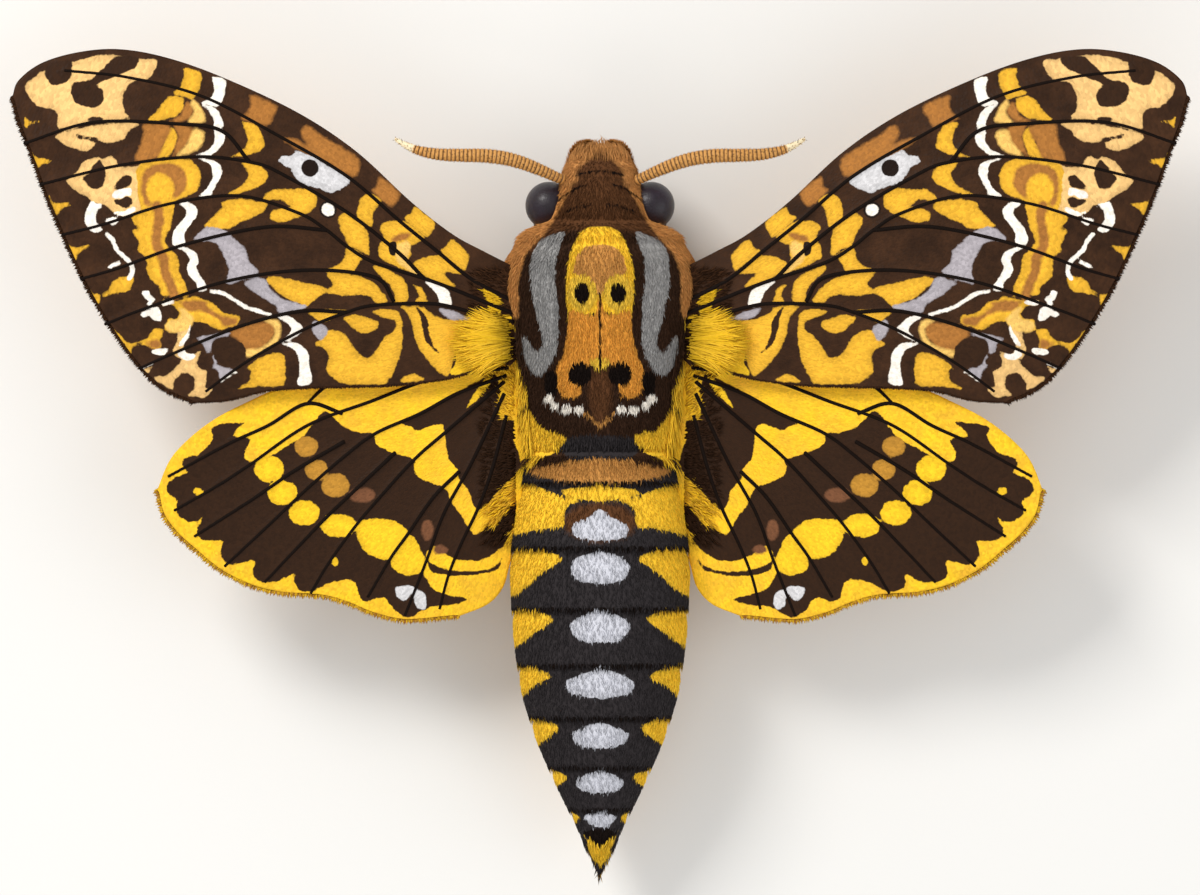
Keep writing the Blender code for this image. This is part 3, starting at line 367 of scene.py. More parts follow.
      (735, 945), (705, 910), (705, 880), (712, 860), (695, 830)),
     ("stroke", 14, ((790, 975), (840, 985), (880, 1010), (920, 1035), (965, 1050), (1010, 1065))),
     ((1040, 1070), (1085, 1070), (1130, 1110), (1125, 1130), (1095, 1150), (1055, 1165), (1090, 1125),
      (1080, 1100)),
     ((1055, 1172), (1110, 1168), (1150, 1205), (1155, 1250), (1165, 1300), (1155, 1322), (1112, 1322),
      (1120, 1270), (1115, 1220), (1095, 1190)),
     ("stroke", 16, ((405, 765), (425, 785), (440, 820), (460, 840), (490, 870), (500, 900), (485, 930))),
     ((405, 885), (450, 862), (455, 875), (420, 890))),
    ("white", RINGS,
     ((850, 690), (910, 645), (1090, 605), (1150, 640), (1130, 735), (1060, 725), (980, 770), (850, 765)),
     ((850, 960), (950, 985), (1060, 960), (1170, 905), (1210, 960), (1060, 1045), (900, 1020)),
     ((510, 820), (600, 850), (720, 880), (630, 930), (590, 1000), (590, 1150), (630, 1180), (690, 1250),
      (630, 1300), (540, 1290), (480, 1240), (435, 1190), (412, 1090), (440, 960), (480, 870)),
     ((720, 1105), (880, 1075), (940, 1125), (850, 1195), (810, 1160))),
    ("white", CORNER,
     ((465, 85), (540, 72), (565, 130), (620, 165), (600, 205), (525, 190), (485, 150)),
     ("oval", 555, 238, 36, 28),
     ((445, 345), (560, 290), (662, 275), (695, 425), (640, 430), (590, 410), (550, 370), (480, 388)),
     ((700, 195), (830, 185), (860, 215), (780, 240), (705, 250)),
     ((565, 810), (620, 775), (765, 765), (740, 835), (640, 845)),
     ((1005, 560), (1040, 480), (1030, 600), (960, 715), (900, 720)),
     ((880, 830), (960, 770), (1000, 830), (1110, 830), (1060, 900), (960, 900)),
     ("stroke", 30, ((465, 1000), (570, 940))),
     ("stroke", 26, ((1395, 1165), (1480, 1100), (1580, 1050)))),
    ("white", INNER,
     ((1035, 735), (1100, 750), (1160, 780), (1180, 820), (1182, 875), (1130, 870), (1110, 830),
      (1090, 790))),
    ("tuft", INNER,
     ((1275, 965), (1400, 935), (1500, 925), (1520, 955), (1480, 1060), (1450, 1180), (1300, 1230),
      (1180, 1260), (1210, 1180), (1200, 1130), (1240, 1090), (1235, 1030), (1280, 1000)),
     ((1360, 780), (1450, 820), (1460, 910), (1400, 920), (1390, 870))),
)
HINDWING_MARKS = (
    ("field", HIND,
     ((725, 160), (765, 195), (800, 225), (860, 245), (915, 250), (925, 290), (990, 325), (1075, 350),
      (1070, 375), (1080, 410), (1130, 440), (1195, 465), (1225, 530), (1260, 575), (1300, 640),
      (1325, 642), (1400, 600), (1470, 515), (1465, 590), (1440, 660), (1400, 710), (1330, 748),
      (1250, 745), (1205, 725), (1150, 690), (1115, 740), (1105, 790), (1125, 830), (1150, 860),
      (1200, 880), (1280, 900), (1230, 920), (1140, 930), (1085, 955), (1050, 972), (1010, 955),
      (985, 935), (965, 900), (930, 895), (895, 908), (860, 895), (850, 860), (835, 830), (800, 822),
      (740, 835), (690, 860), (665, 870), (620, 862), (602, 835), (605, 800), (580, 810), (540, 828),
      (490, 832), (450, 820), (438, 790), (445, 748), (400, 755), (350, 762), (318, 740), (315, 700),
      (322, 668), (290, 670), (240, 665), (222, 640), (228, 610), (245, 580), (210, 595), (165, 585),
      (140, 550), (148, 510), (120, 495), (100, 470), (110, 440), (150, 415), (185, 400), (165, 375),
      (175, 345), (240, 325), (285, 265), (275, 235), (300, 215), (410, 205), (385, 225), (362, 262),
      (430, 268), (412, 310), (410, 345), (432, 360), (470, 355), (560, 305), (640, 260), (665, 225)),
     ((1020, 205), (1060, 190), (1130, 150), (1230, 95), (1330, 40), (1385, 15), (1405, 60), (1410, 185),
      (1465, 200), (1460, 260), (1490, 350), (1480, 390), (1440, 440), (1370, 510), (1325, 550),
      (1300, 520), (1290, 480), (1245, 420), (1250, 400), (1210, 350), (1197, 290), (1185, 215),
      (1120, 225), (1085, 238), (1060, 222)),
     ((1125, 745), (1150, 765), (1210, 785), (1300, 790), (1380, 775), (1422, 735), (1400, 780),
      (1340, 800), (1250, 808), (1170, 800), (1130, 780))),
    ("yellow", HIND,
     ((1380, 20), (1355, 80), (1310, 125), (1280, 150), (1300, 110), (1330, 60)),
     ("oval", 505, 387, 60, 53), ("oval", 556, 481, 60, 50), ("oval", 642, 561, 62, 50),
     ("oval", 775, 610, 74, 47), ("oval", 225, 475, 22, 14), ("oval", 762, 750, 12, 16),
     ((850, 600), (880, 585), (970, 585), (1010, 600), (1050, 640), (1010, 690), (980, 735), (930, 740),
      (880, 710), (850, 660), (845, 620)),
     ((1060, 645), (1100, 710), (1115, 750), (1095, 795), (1040, 805), (990, 780), (985, 740),
      (1020, 690))),
    ("ochre", HIND,
     ("oval", 650, 300, 47, 40), ("oval", 690, 390, 46, 42), ("oval", 765, 452, 56, 48)),
    ("brown", HIND,
     ("oval", 870, 490, 52, 30), ("oval", 1125, 628, 25, 42), ("oval", 1175, 705, 30, 18)),
    ("white", HIND,
     ((1000, 855), (1060, 848), (1065, 870), (1035, 905), (1010, 895)),
     ((1070, 860), (1110, 875), (1120, 905), (1110, 940), (1080, 930), (1070, 895))),
)
TRUNK_MARKS = (
    ("crown", FRONT,
     ((-60, 158), (30, 158), (62, 176), (104, 222), (100, 255), (150, 310), (185, 350), (215, 400),
      (245, 445), (320, 540), (300, 580), (200, 500), (100, 480), (-60, 480)),
     ((-50, 1100), (40, 1100), (52, 1180), (42, 1260), (12, 1312), (0, 1322), (-50, 1322))),
    ("crown", REAR,
     ("oval", 0, 340, 124, 66)),
    ("ochre", FRONT,
     ("stroke", 42, ((149, 300), (190, 370), (229, 440), (275, 500), (314, 540), (345, 580))),
     ((222, 425), (262, 490), (310, 540), (345, 590), (430, 610), (415, 545), (380, 480), (330, 430),
      (275, 395)),
     ((314, 540), (370, 545), (430, 600), (466, 690), (466, 800), (430, 855), (364, 858), (352, 800),
      (355, 720), (340, 640), (317, 570))),
    ("grey", FRONT,
     ((154, 490), (176, 560), (189, 600), (197, 680), (184, 800), (182, 950), (194, 1020), (219, 1070),
      (244, 1100), (289, 1110), (329, 1050), (344, 960), (324, 948), (289, 1000), (264, 1003), (251, 970),
      (269, 880), (289, 800), (304, 700), (299, 600), (269, 535), (219, 505))),
    ("slate", FRONT,
     ((-60, 1385), (150, 1385), (140, 1470), (-60, 1475))),
    ("yellow", FRONT,
     ((0, 465), (65, 475), (110, 530), (140, 620), (150, 700), (150, 760), (140, 830), (137, 880),
      (100, 860), (60, 850), (0, 840), (-60, 820), (-60, 480)),
     ((379, 862), (372, 900), (378, 960), (366, 1040), (346, 1130), (317, 1215), (369, 1292), (440, 1300),
      (470, 1200), (470, 1000), (450, 880), (420, 862)),
     ((314, 1255), (279, 1310), (239, 1350), (179, 1365), (149, 1395), (199, 1450), (269, 1480),
      (314, 1515), (349, 1440), (371, 1370), (369, 1310), (339, 1275))),
    ("yellow", REAR,
     ((-20, 216), (40, 222), (120, 232), (125, 250), (90, 262), (40, 268), (-20, 268)),
     ((252, 215), (207, 222), (127, 255), (67, 270), (97, 280), (117, 305), (122, 355), (167, 360),
      (237, 372), (300, 372), (300, 215)),
     ((300, 590), (290, 440), (217, 430), (127, 460), (187, 505)),
     ((300, 640), (227, 633), (157, 663), (217, 710), (300, 760)),
     ((300, 822), (227, 825), (164, 855), (217, 885), (280, 930)),
     ((260, 1000), (177, 1005), (139, 1030), (197, 1080), (240, 1100)),
     ((200, 1165), (112, 1193), (150, 1230), (190, 1235)),
     ((150, 1308), (75, 1325), (90, 1355), (150, 1360)),
     ((58, 1380), (48, 1405), (0, 1430), (-20, 1495), (20, 1480), (38, 1445))),
    ("tan", FRONT,
     ((0, 545), (60, 555), (100, 590), (110, 630), (115, 670), (60, 690), (30, 720), (8, 760), (0, 775),
      (-60, 760), (-60, 545)),
     ("stroke", 15, ((64, 1276), (34, 1305), (0, 1336)))),
    ("tan", REAR,
     ((0, 128), (120, 138), (238, 170), (120, 205), (0, 213), (-60, 213), (-60, 128))),
    ("orange", FRONT,
     ((0, 770), (20, 840), (60, 850), (130, 830), (140, 900), (150, 960), (165, 1030), (190, 1080),
      (185, 1110), (175, 1165), (155, 1205), (110, 1205), (85, 1190), (80, 1170), (60, 1100), (40, 1060),
      (0, 1090), (-60, 1090), (-60, 770)),
     ((200, 1095), (190, 1150), (165, 1205), (110, 1210), (80, 1190), (95, 1168), (140, 1165), (135, 1120),
      (150, 1085))),
    ("gold", FRONT,
     ("oval", 79, 755, 65, 82),
     ((0, 1040), (38, 1045), (40, 1070), (0, 1092), (-30, 1090), (-30, 1040))),
    ("black", FRONT,
     ("oval", 79, 755, 34, 46), ("oval", 87, 1108, 52, 52),
     ("stroke", 9, ((0, 770), (0, 1090))),
     ("stroke", 8, ((-20, 222), (55, 226), (105, 240))),
     ("stroke", 8, ((60, 280), (110, 300), (160, 330), (188, 352))),
     ("stroke", 7, ((30, 368), (90, 378), (150, 398))),
     ((189, 1100), (239, 1105), (236, 1190), (192, 1190))),
    ("black", REAR,
     ((-60, 1372), (52, 1376), (46, 1400), (0, 1428), (-60, 1430))),
    ("teeth", FRONT,
     ("oval", 226, 1216, 24, 20), ("oval", 200, 1244, 20, 18), ("oval", 147, 1262, 26, 20),
     ("oval", 92, 1262, 24, 18)),
    ("pale", REAR,
     ((0, 296), (30, 320), (85, 345), (95, 362), (78, 392), (0, 402), (-60, 398), (-40, 320)),
     ((0, 438), (60, 452), (93, 474), (95, 508), (70, 536), (0, 545), (-60, 536), (-60, 452)),
     ((0, 634), (60, 652), (98, 678), (92, 710), (62, 736), (0, 742), (-60, 736), (-60, 652)),
     ((0, 828), (60, 846), (110, 868), (113, 890), (88, 914), (0, 929), (-60, 920), (-60, 846)),
     ((0, 1009), (50, 1026), (92, 1044), (92, 1066), (60, 1089), (0, 1097), (-50, 1089), (-50, 1026)),
     ((0, 1172), (50, 1188), (80, 1207), (70, 1234), (34, 1247), (0, 1250), (-40, 1247), (-50, 1188)),
     ((0, 1310), (52, 1328), (44, 1345), (25, 1362), (0, 1366), (-25, 1362), (-50, 1328))),
)

# How far in mm from a mark its distance is told
MARK_REACH = 1.5
# Points for each given one of an outline, round an oval, and for each given one where a path is measured
OUTLINE_STEPS = 4
OVAL_POINTS = 14
FINE_STEPS = 16

# Colours as seen: red, green and blue from 0 to 255. The main ones are in the sidebar
TONES = {
    "wing_base": (48, 29, 16), "wing_base_light": (70, 44, 26), "cream": (240, 194, 124),
    "umber": (52, 32, 18), "ochre": (172, 113, 52), "light": (244, 196, 104), "lilac": (176, 169, 174),
    "pearl": (214, 212, 213), "dark": (30, 18, 12), "white": (253, 245, 232), "tuft": (250, 200, 40),
    "hind_field": (50, 31, 18), "hind_ochre": (190, 136, 50), "hind_brown": (120, 78, 52),
    "under_yellow": (228, 170, 62), "under_band": (120, 78, 40), "vein": (20, 12, 8),
    "head": (196, 137, 78), "band": (208, 144, 80), "crown": (94, 60, 36), "grey": (160, 158, 156),
    "yellow": (255, 204, 54), "tan": (206, 146, 76), "orange": (232, 158, 62), "ring": (250, 206, 70),
    "black": (24, 16, 12), "abdomen": (50, 46, 47), "belly": (236, 180, 58), "breast": (150, 100, 52),
    "leg": (70, 48, 34), "leg_pale": (206, 178, 130), "antenna": (206, 152, 84),
    "antenna_ring": (78, 50, 30), "antenna_tip": (240, 224, 186), "tongue": (92, 56, 34),
    "claw": (36, 20, 12), "floor": (232, 231, 228),
}


def settings():
    """The sizes and colours that the sidebar shows."""
    return bpy.context.scene.hawkmoth


def tone(name):
    """The linear colour of one of the named tones, or of one of the sidebar's colours."""
    if name not in TONES:
        return (*getattr(settings(), name), 1.0)
    shares = np.array(TONES[name]) / 255
    linear = np.where(shares <= 0.04045, shares / 12.92, ((shares + 0.055) / 1.055) ** 2.4)
    return (*(float(share) for share in linear), 1.0)


def through_points(four, share):
    """Places on the smooth curve between the middle two of four neighbouring points."""
    before, here, there, after = four
    return 0.5 * (
        2 * here
        + (there - before) * share
        + (2 * before - 5 * here + 4 * there - after) * share**2
        + (3 * here - before - 3 * there + after) * share**3
    )


def smooth_curve(points, parameters):
    """Points on a smooth curve through the given ones, at parameters that count those points from 0."""
    given = np.asarray(points, float)
    last = len(given) - 1
    ends = np.vstack([2 * given[0] - given[1], given, 2 * given[-1] - given[-2]])
    parameters = np.clip(np.asarray(parameters, float), 0, last)
    start = np.minimum(parameters.astype(int), last - 1)
    return through_points([ends[start + step] for step in range(4)], (parameters - start)[:, None])


def run_lengths(path):
    """How far along a path each of its points lies."""
    return np.concatenate([[0], np.cumsum(np.linalg.norm(np.diff(path, axis=0), axis=1))])


def read_along(table, runs, places):
    """The rows of a table read off at places along a path."""
    return np.column_stack([np.interp(places, runs, table[:, axis]) for axis in range(table.shape[1])])


def even_points(points, count):
    """An even count of points along a smooth curve through the given ones, both ends kept."""
    fine = smooth_curve(points, np.linspace(0, len(points) - 1, FINE_STEPS * len(points)))
    runs = run_lengths(fine)
    return read_along(fine, runs, np.linspace(0, runs[-1], count))


def closed_curve(points, steps):
    """A smooth closed outline through the given points."""
    given = np.asarray(points, float)
    count = len(given)
    ring = np.vstack([given[-1:], given, given[:2]])
    share = (np.arange(steps) / steps)[None, :, None]
    return through_points([ring[step : step + count][:, None] for step in range(4)], share).reshape(-1, 2)


def full_turn(count):
    """An even count of angles once round."""
    return np.arange(count) * 2 * math.pi / count


def line_distance(points, line):
    """Distance in the plane from each point to a polyline."""
    nearest = np.full(len(points), np.inf)
    for start, end in zip(line, line[1:]):
        along = end - start
        offset = points - start
        share = np.clip(offset @ along / max(along @ along, TINY), 0, 1)
        gap = offset - share[:, None] * along
        nearest = np.minimum(nearest, (gap * gap).sum(1))
    return np.sqrt(nearest)


def outline_distance(points, outline):
    """Distance from each point to a closed outline, negative inside it."""
    within = np.zeros(len(points), bool)
    for start, end in zip(outline, np.roll(outline, -1, axis=0)):
        rise = end[1] - start[1]
        if rise == 0:
            continue
        crosses = (start[1] > points[:, 1]) != (end[1] > points[:, 1])
        meets = start[0] + (points[:, 1] - start[1]) * (end[0] - start[0]) / rise
        within ^= crosses & (points[:, 0] < meets)
    far = line_distance(points, np.vstack([outline, outline[:1]]))
    return np.where(within, -far, far)


def on_plan(plan, points):
    """Points of a plan of markings as (across, back) in millimetres."""
    across, back, scale, way = plan
    given = np.asarray(points, float)
    return np.column_stack([across + way * given[:, 0] / scale, back + given[:, 1] / scale])


def bounded(distances):
    """Distances cut off at the reach."""
    return np.clip(distances, -MARK_REACH, MARK_REACH)


def mark_distance(points, plan, shape):
    """Distance from each point to one mark, negative inside it, cut off at the reach."""
    kind = shape[0]
    half = 0.0
    if kind == "oval":
        turn = full_turn(OVAL_POINTS)
        x, y, wide, high = shape[1:]
        outline = on_plan(plan, np.column_stack([x + wide * np.cos(turn), y + high * np.sin(turn)]))
    elif kind == "stroke":
        half = shape[1] / plan[2] / 2
        outline = even_points(on_plan(plan, shape[2]), OUTLINE_STEPS * len(shape[2]))
    else:
        outline = closed_curve(on_plan(plan, shape), OUTLINE_STEPS)
    found = np.full(len(points), MARK_REACH)
    margin = MARK_REACH + half
    near = np.flatnonzero(((points > outline.min(0) - margin) & (points < outline.max(0) + margin)).all(1))
    if len(near):
        measure = line_distance if kind == "stroke" else outline_distance
        found[near] = bounded(measure(points[near], outline) - half)
    return found


def layer_distances(points, marks):
    """For each layer of marks, the distance from each point to the nearest of them."""
    found = {}
    for layer, plan, *shapes in marks:
        nearest = found.setdefault(layer, np.full(len(points), MARK_REACH))
        for shape in shapes:
            np.minimum(nearest, mark_distance(points, plan, shape), out=nearest)
    return found


def deselect():
    bpy.ops.object.select_all(action="DESELECT")


def set_points(obj, points):
    """Gives the object's vertices their places, from millimetres."""
    obj.data.vertices.foreach_set("co", np.ascontiguousarray(points * MM, dtype=np.float32).ravel())
    obj.data.update()


def get_points(obj):
    """The places of the object's vertices, in millimetres."""
    found = np.empty(3 * len(obj.data.vertices), dtype=np.float32)
    obj.data.vertices.foreach_get("co", found)
    return found.reshape(-1, 3).astype(float) / MM


def set_values(mesh, name, values):
    """A number for each vertex, which the materials read by name."""
    layer = mesh.attributes.new(name, "FLOAT", "POINT")
    layer.data.foreach_set("value", np.ascontiguousarray(values, dtype=np.float32))


def set_uv(mesh, name, spots):
    """A UV map from one place for each vertex."""
    corners = np.empty(len(mesh.loops), dtype=np.int32)
    mesh.loops.foreach_get("vertex_index", corners)
    layer = mesh.uv_layers.get(name) or mesh.uv_layers.new(name=name)
    layer.data.foreach_set("uv", np.ascontiguousarray(spots[corners], dtype=np.float32).ravel())


def face_outwards(obj):
    """Turns a closed mesh right side out."""
    work = bmesh.new()
    work.from_mesh(obj.data)
    turned = work.calc_volume(signed=True) < 0
    work.free()
    if turned:
        obj.data.flip_normals()


def add_object(name, data):
    """A new object in the scene."""
    obj = bpy.data.objects.new(name, data)
    bpy.context.scene.collection.objects.link(obj)
    return obj


def tie(obj, slot_name, nodes):
    """Ties the piece to the body, to its slot and to the nodes that it stands for."""
    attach(obj, BODY)
    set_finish(obj, slot_name)
    if nodes:
        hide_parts(*nodes)
    return obj


def finish_piece(obj, name, slot_name, material_made, *nodes):
    """Names the piece, gives it its finish and ties it down."""
    obj.name = obj.data.name = name
    if material_made:
        obj.data.materials.clear()
        obj.data.materials.append(material_made)
    obj.data.shade_smooth()
    return tie(obj, slot_name, nodes)


def mirrored(obj, name, *nodes):
    """A copy of a left piece for the right side. The names are given for the left."""
    name, *nodes = (given.replace("left", "right") for given in (name, *nodes))
    mesh = obj.data.copy()
    mesh.name = name
    copy = add_object(name, mesh)
    set_points(copy, get_points(copy) * (-1, 1, 1))
    mesh.flip_normals()
    return tie(copy, obj["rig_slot"], nodes)


def finish_pair(obj, name, slot_name, material_made, *nodes):
    """Finishes a left piece and adds the right one."""
    finish_piece(obj, name, slot_name, material_made, *nodes)
    mirrored(obj, name, *nodes)


def drawn_skin(rings, tips):
    """A ball drawn out into a closed skin over rings of points, with its two poles at the tips.

    Gives the object and, for each vertex, how far along and how far round it lies, from 0 to 1.
    """
    rings = np.asarray(rings, float)
    count, sides = rings.shape[:2]
    deselect()
    bpy.ops.mesh.primitive_uv_sphere_add(segments=sides, ring_count=count + 1, radius=1.0)
    obj = bpy.context.object
    ball = get_points(obj) * MM
    row = np.rint(np.arccos(np.clip(ball[:, 2], -1, 1)) / math.pi * (count + 1)).astype(int)
    turn = np.rint(np.arctan2(ball[:, 1], ball[:, 0]) / (2 * math.pi) * sides).astype(int) % sides
    places = rings[np.clip(row - 1, 0, count - 1), turn]
    places[row == 0] = tips[0]
    places[row == count + 1] = tips[1]
    set_points(obj, places)
    face_outwards(obj)
    return obj, row / (count + 1), turn / sides


def unit(vectors):
    """The vectors at length 1."""
    return vectors / np.maximum(np.linalg.norm(vectors, axis=-1, keepdims=True), TINY)


def path_axes(path, across=None):
    """Along, side and up at each point of a path; across fixes the side direction."""
    along = unit(np.gradient(path, axis=0))
    if across is None:
        side = unit(np.cross(along, np.array([0.0, 0.0, 1.0])))
    else:
        side = np.tile(np.array(across, float), (len(path), 1))
    return along, side, unit(np.cross(side, along))


# How far a tube's tips stand out of its last rings, in their radii
TIP_REACH = 0.6


def tube_rings(path, radii, sides, across=None):
    """Rings of points round a path, with the tips that close them."""
    along, side, up = path_axes(path, across)
    radii = np.asarray(radii, float)
    turn = full_turn(sides)
    rings = (
        path[:, None]
        + radii[:, None, None] * np.cos(turn)[None, :, None] * side[:, None]
        + radii[:, None, None] * np.sin(turn)[None, :, None] * up[:, None]
    )
    return rings, (path[0] - along[0] * radii[0] * TIP_REACH, path[-1] + along[-1] * radii[-1] * TIP_REACH)


def spread(values, count):
    """The values read off at an even count of places from first to last."""
    return np.interp(np.linspace(0, len(values) - 1, count), np.arange(len(values)), values)


def trunk_profile(stations, backs):
    """Half width, half height and centre height at each place along the trunk."""
    table = np.array(stations)
    return smooth_curve(table[:, 1:], np.interp(backs, table[:, 0], np.arange(len(table))))


# How much of the sizes of head, thorax and abdomen the coat takes, and the least that it leaves
COAT_DEPTHS = (0.5, 0.6, 0.3)
LEAST_HALF = 0.05
# How sharply one part passes into the next
BLEND_POWER = 14
# The share of an abdominal ring that dips at its hind edge, and the half width from which the step is full
RING_LIP = 0.025
FULL_STEP_WIDTH = 4
# Shoulder lobes, grooves beside the crest, crest, and pads at the sides: height, then middle and half
# width in degrees up from the side, and along the trunk
UPPER_SWELLINGS = (
    (0.45, (38, 24), (-15.5, 8.0)),
    (-0.3, (66, 10), (-14.5, 9.0)),
    (0.3, (90, 22), (-19.0, 4.5)),
)
SIDE_SWELLING = (0.5, (0, 46), (-17.6, 5.6))
FULL_RELIEF_WIDTH = 6
# Where the upper marks end and breast and belly start, in half heights below the middle
MARKS_END = 0.52
BELLY_START = 0.44
# Half width of the dark line between two abdominal rings
JOINT_LINE = 0.15


def trunk_shape(backs):
    """Half width, half height and centre of the skin at places along the trunk."""
    backs = np.clip(np.asarray(backs, float), HEAD[0][0], ABDOMEN[-1][0])
    sizes = np.zeros((3, len(backs), 3))
    for part, (stations, depth) in enumerate(zip((HEAD, THORAX, ABDOMEN), COAT_DEPTHS)):
        found = trunk_profile(stations, backs)
        found[:, :2] = np.maximum(found[:, :2] - depth, LEAST_HALF)
        held = (backs >= stations[0][0] - TINY) & (backs <= stations[-1][0] + TINY)
        found[~held, :2] = 0.0
        sizes[part] = found
    starts, ends = np.array(SEGMENT_ENDS[:-1]), np.array(SEGMENT_ENDS[1:])
    segment = np.clip(np.searchsorted(ends, backs, side="right"), 0, len(ends) - 1)
    share = np.clip((backs - starts[segment]) / (ends[segment] - starts[segment]), 0, 1)
    drop = np.where(share < 0.5, (1 - 2 * share) ** 2, 0.0)
    drop = np.maximum(drop, np.clip((share - (1 - RING_LIP)) / RING_LIP, 0, 1) ** 2)
    inset = SEGMENT_STEP * drop * np.minimum(1.0, sizes[2, :, 0] / FULL_STEP_WIDTH)
    sizes[2, :, :2] = np.maximum(sizes[2, :, :2] - inset[:, None], 0.0)
    weights = (sizes[:, :, 0] / np.maximum(sizes[:, :, 0].max(0), TINY)) ** BLEND_POWER
    weights /= weights.sum(0)
    width = (sizes[:, :, 0] ** BLEND_POWER).sum(0) ** (1 / BLEND_POWER)
    height = (sizes[:, :, 1] ** BLEND_POWER).sum(0) ** (1 / BLEND_POWER)
    return width, height, (sizes[:, :, 2] * weights).sum(0)


def hump(values, middle, half):
    """1 at the middle, falling smoothly to 0 at half a width away."""
    share = np.clip(np.abs(values - middle) / half, 0, 1)
    return (1 - share**2) ** 2


def swelling(tilt, backs, height, round_trunk, along_trunk):
    """One rise or dip of the skin, which fades out round the trunk and along it."""
    return height * hump(tilt, *round_trunk) * hump(backs, *along_trunk)


def trunk_relief(backs, angles):
    """How far the skin stands out or in."""
    tilt = np.degrees(np.arcsin(np.clip(np.abs(np.sin(angles)), 0, 1)))
    upper = np.clip(np.sin(angles) * 3, 0, 1)
    raised = sum(swelling(tilt, backs, *given) for given in UPPER_SWELLINGS)
    return upper * raised + swelling(tilt, backs, *SIDE_SWELLING)


def trunk_points(backs, angles):
    """Points of the trunk's skin at places along it and angles round it."""
    width, height, centre = trunk_shape(backs)
    across, up = np.cos(angles), np.sin(angles)
    power = 2 / TRUNK_SQUARENESS
    grow = trunk_relief(backs, angles) * np.clip(width / FULL_RELIEF_WIDTH, 0, 1)
    return np.column_stack([
        np.sign(across) * (width + grow) * np.abs(across) ** power,
        backs,
        centre + np.sign(up) * (height + grow) * np.abs(up) ** power,
    ])


def trunk_layers(points):
    """Distances to the trunk's layers of marks, which lie on its upper side, and to its parts."""
    backs = points[:, 1]
    _width, height, centre = trunk_shape(backs)
    low = centre - points[:, 2]
    found = layer_distances(np.column_stack([np.abs(points[:, 0]), backs]), TRUNK_MARKS)
    for layer in found:
        found[layer] = np.maximum(found[layer], bounded(low - MARKS_END * height))
    under = BELLY_START * height - low
    found["head"] = bounded(backs - HEAD_END)
    found["abdomen"] = np.minimum(bounded(THORAX_END - backs), found.pop("slate"))
    found["breast"] = bounded(np.maximum(under, backs - THORAX_END))
    found["belly"] = bounded(np.maximum(under, THORAX_END - backs))
    ends = np.array(SEGMENT_ENDS[1:-1])
    found["joint"] = bounded(np.abs(backs[:, None] - ends[None]).min(1) - JOINT_LINE)
    return found


def wing_height(form, across, back):
    """Height of the middle of the membrane."""
    out = across - ROOT_ACROSS
    middle = form["mid"][0] + form["mid"][1] * out
    return (
        form["root"]
        + form["rise"] * out
        - form["ease"] * out**2
        - form["droop"] * (back - form["mid"][0])
        - form["arch"] * (back - middle) ** 2
    )


# Blades of two or three rings: places and widths of the rings, height of the back in widths, curl, rooting
BLADE_SHARES = {2: (0.0, 0.5), 3: (0.0, 0.35, 0.72)}
BLADE_SIZES = {2: (0.75, 1.0), 3: (0.65, 1.0, 0.7)}
BLADE_EDGES = ((0, 1), (1, 2), (2, 0))
BLADE_RIDGE = 0.55
BLADE_CURL = (1.15, 0.4)
ROOT_DEPTH = 0.12
# A tuft's place on the coat's UV map, as a share of it, and the most triangles of one piece
BAKE_PATCH = 0.003
PIECE_TRIANGLES = 190000


def blade_faces(rings):
    """The triangles of one closed blade with three points a ring and a tip."""
    faces = [(0, 1, 2)]
    for ring in range(rings - 1):
        low = 3 * ring
        high = low + 3
        for start, end in BLADE_EDGES:
            faces.append((low + end, low + start, high + start))
            faces.append((low + end, high + start, high + end))
    last = 3 * (rings - 1)
    faces += [(last + end, last + start, last + 3) for start, end in BLADE_EDGES]
    return np.array(faces)


def coat(name, roots, slot_name, material_made, rings=2):
    """Tufts as closed tapered blades, joined into as many pieces as their triangles need.

    roots holds, for each tuft, its spot, lie, up, length, width, lift, sway, bake spot, shade and marks.
    """
    count = len(roots["spot"])
    faces = blade_faces(rings)
    size = 3 * rings + 1
    parts = max(1, math.ceil(count * len(faces) / PIECE_TRIANGLES))
    made = []
    for part, chosen in enumerate(np.array_split(np.arange(count), parts)):
        points, shares = blade_points(roots, chosen, rings)
        mesh = bpy.data.meshes.new(name)
        total = len(chosen) * size
        corners = (faces[None] + (np.arange(len(chosen)) * size)[:, None, None]).reshape(-1, 3)
        mesh.vertices.add(total)
        mesh.loops.add(corners.size)
        mesh.polygons.add(len(corners))
        mesh.loops.foreach_set("vertex_index", corners.ravel().astype(np.int32))
        mesh.polygons.foreach_set("loop_start", (np.arange(len(corners)) * 3).astype(np.int32))
        obj = add_object(name, mesh)
        set_points(obj, points.reshape(-1, 3))
        mesh.update(calc_edges=True)
        mesh.validate()
        set_values(mesh, "tip", np.tile(shares, len(chosen)))
        set_values(mesh, "shade", np.repeat(roots["shade"][chosen], size))
        for layer, values in roots["marks"].items():
            set_values(mesh, layer, np.repeat(values[chosen], size))
        patch = np.zeros((len(chosen), size, 2))
        patch[:, :, 0] = np.resize((-0.5, 0.5, 0.0), size) * BAKE_PATCH * (1 - shares)
        patch[:, :, 1] = (shares - 0.5) * BAKE_PATCH
        spots = np.clip(roots["bake"][chosen][:, None] + patch, 0.0, 1.0)
        set_uv(mesh, "OFBake", spots.reshape(-1, 2))
        label = name if parts == 1 else f"{name}_{part + 1}"
        made.append(finish_piece(obj, label, slot_name, material_made))
    return made


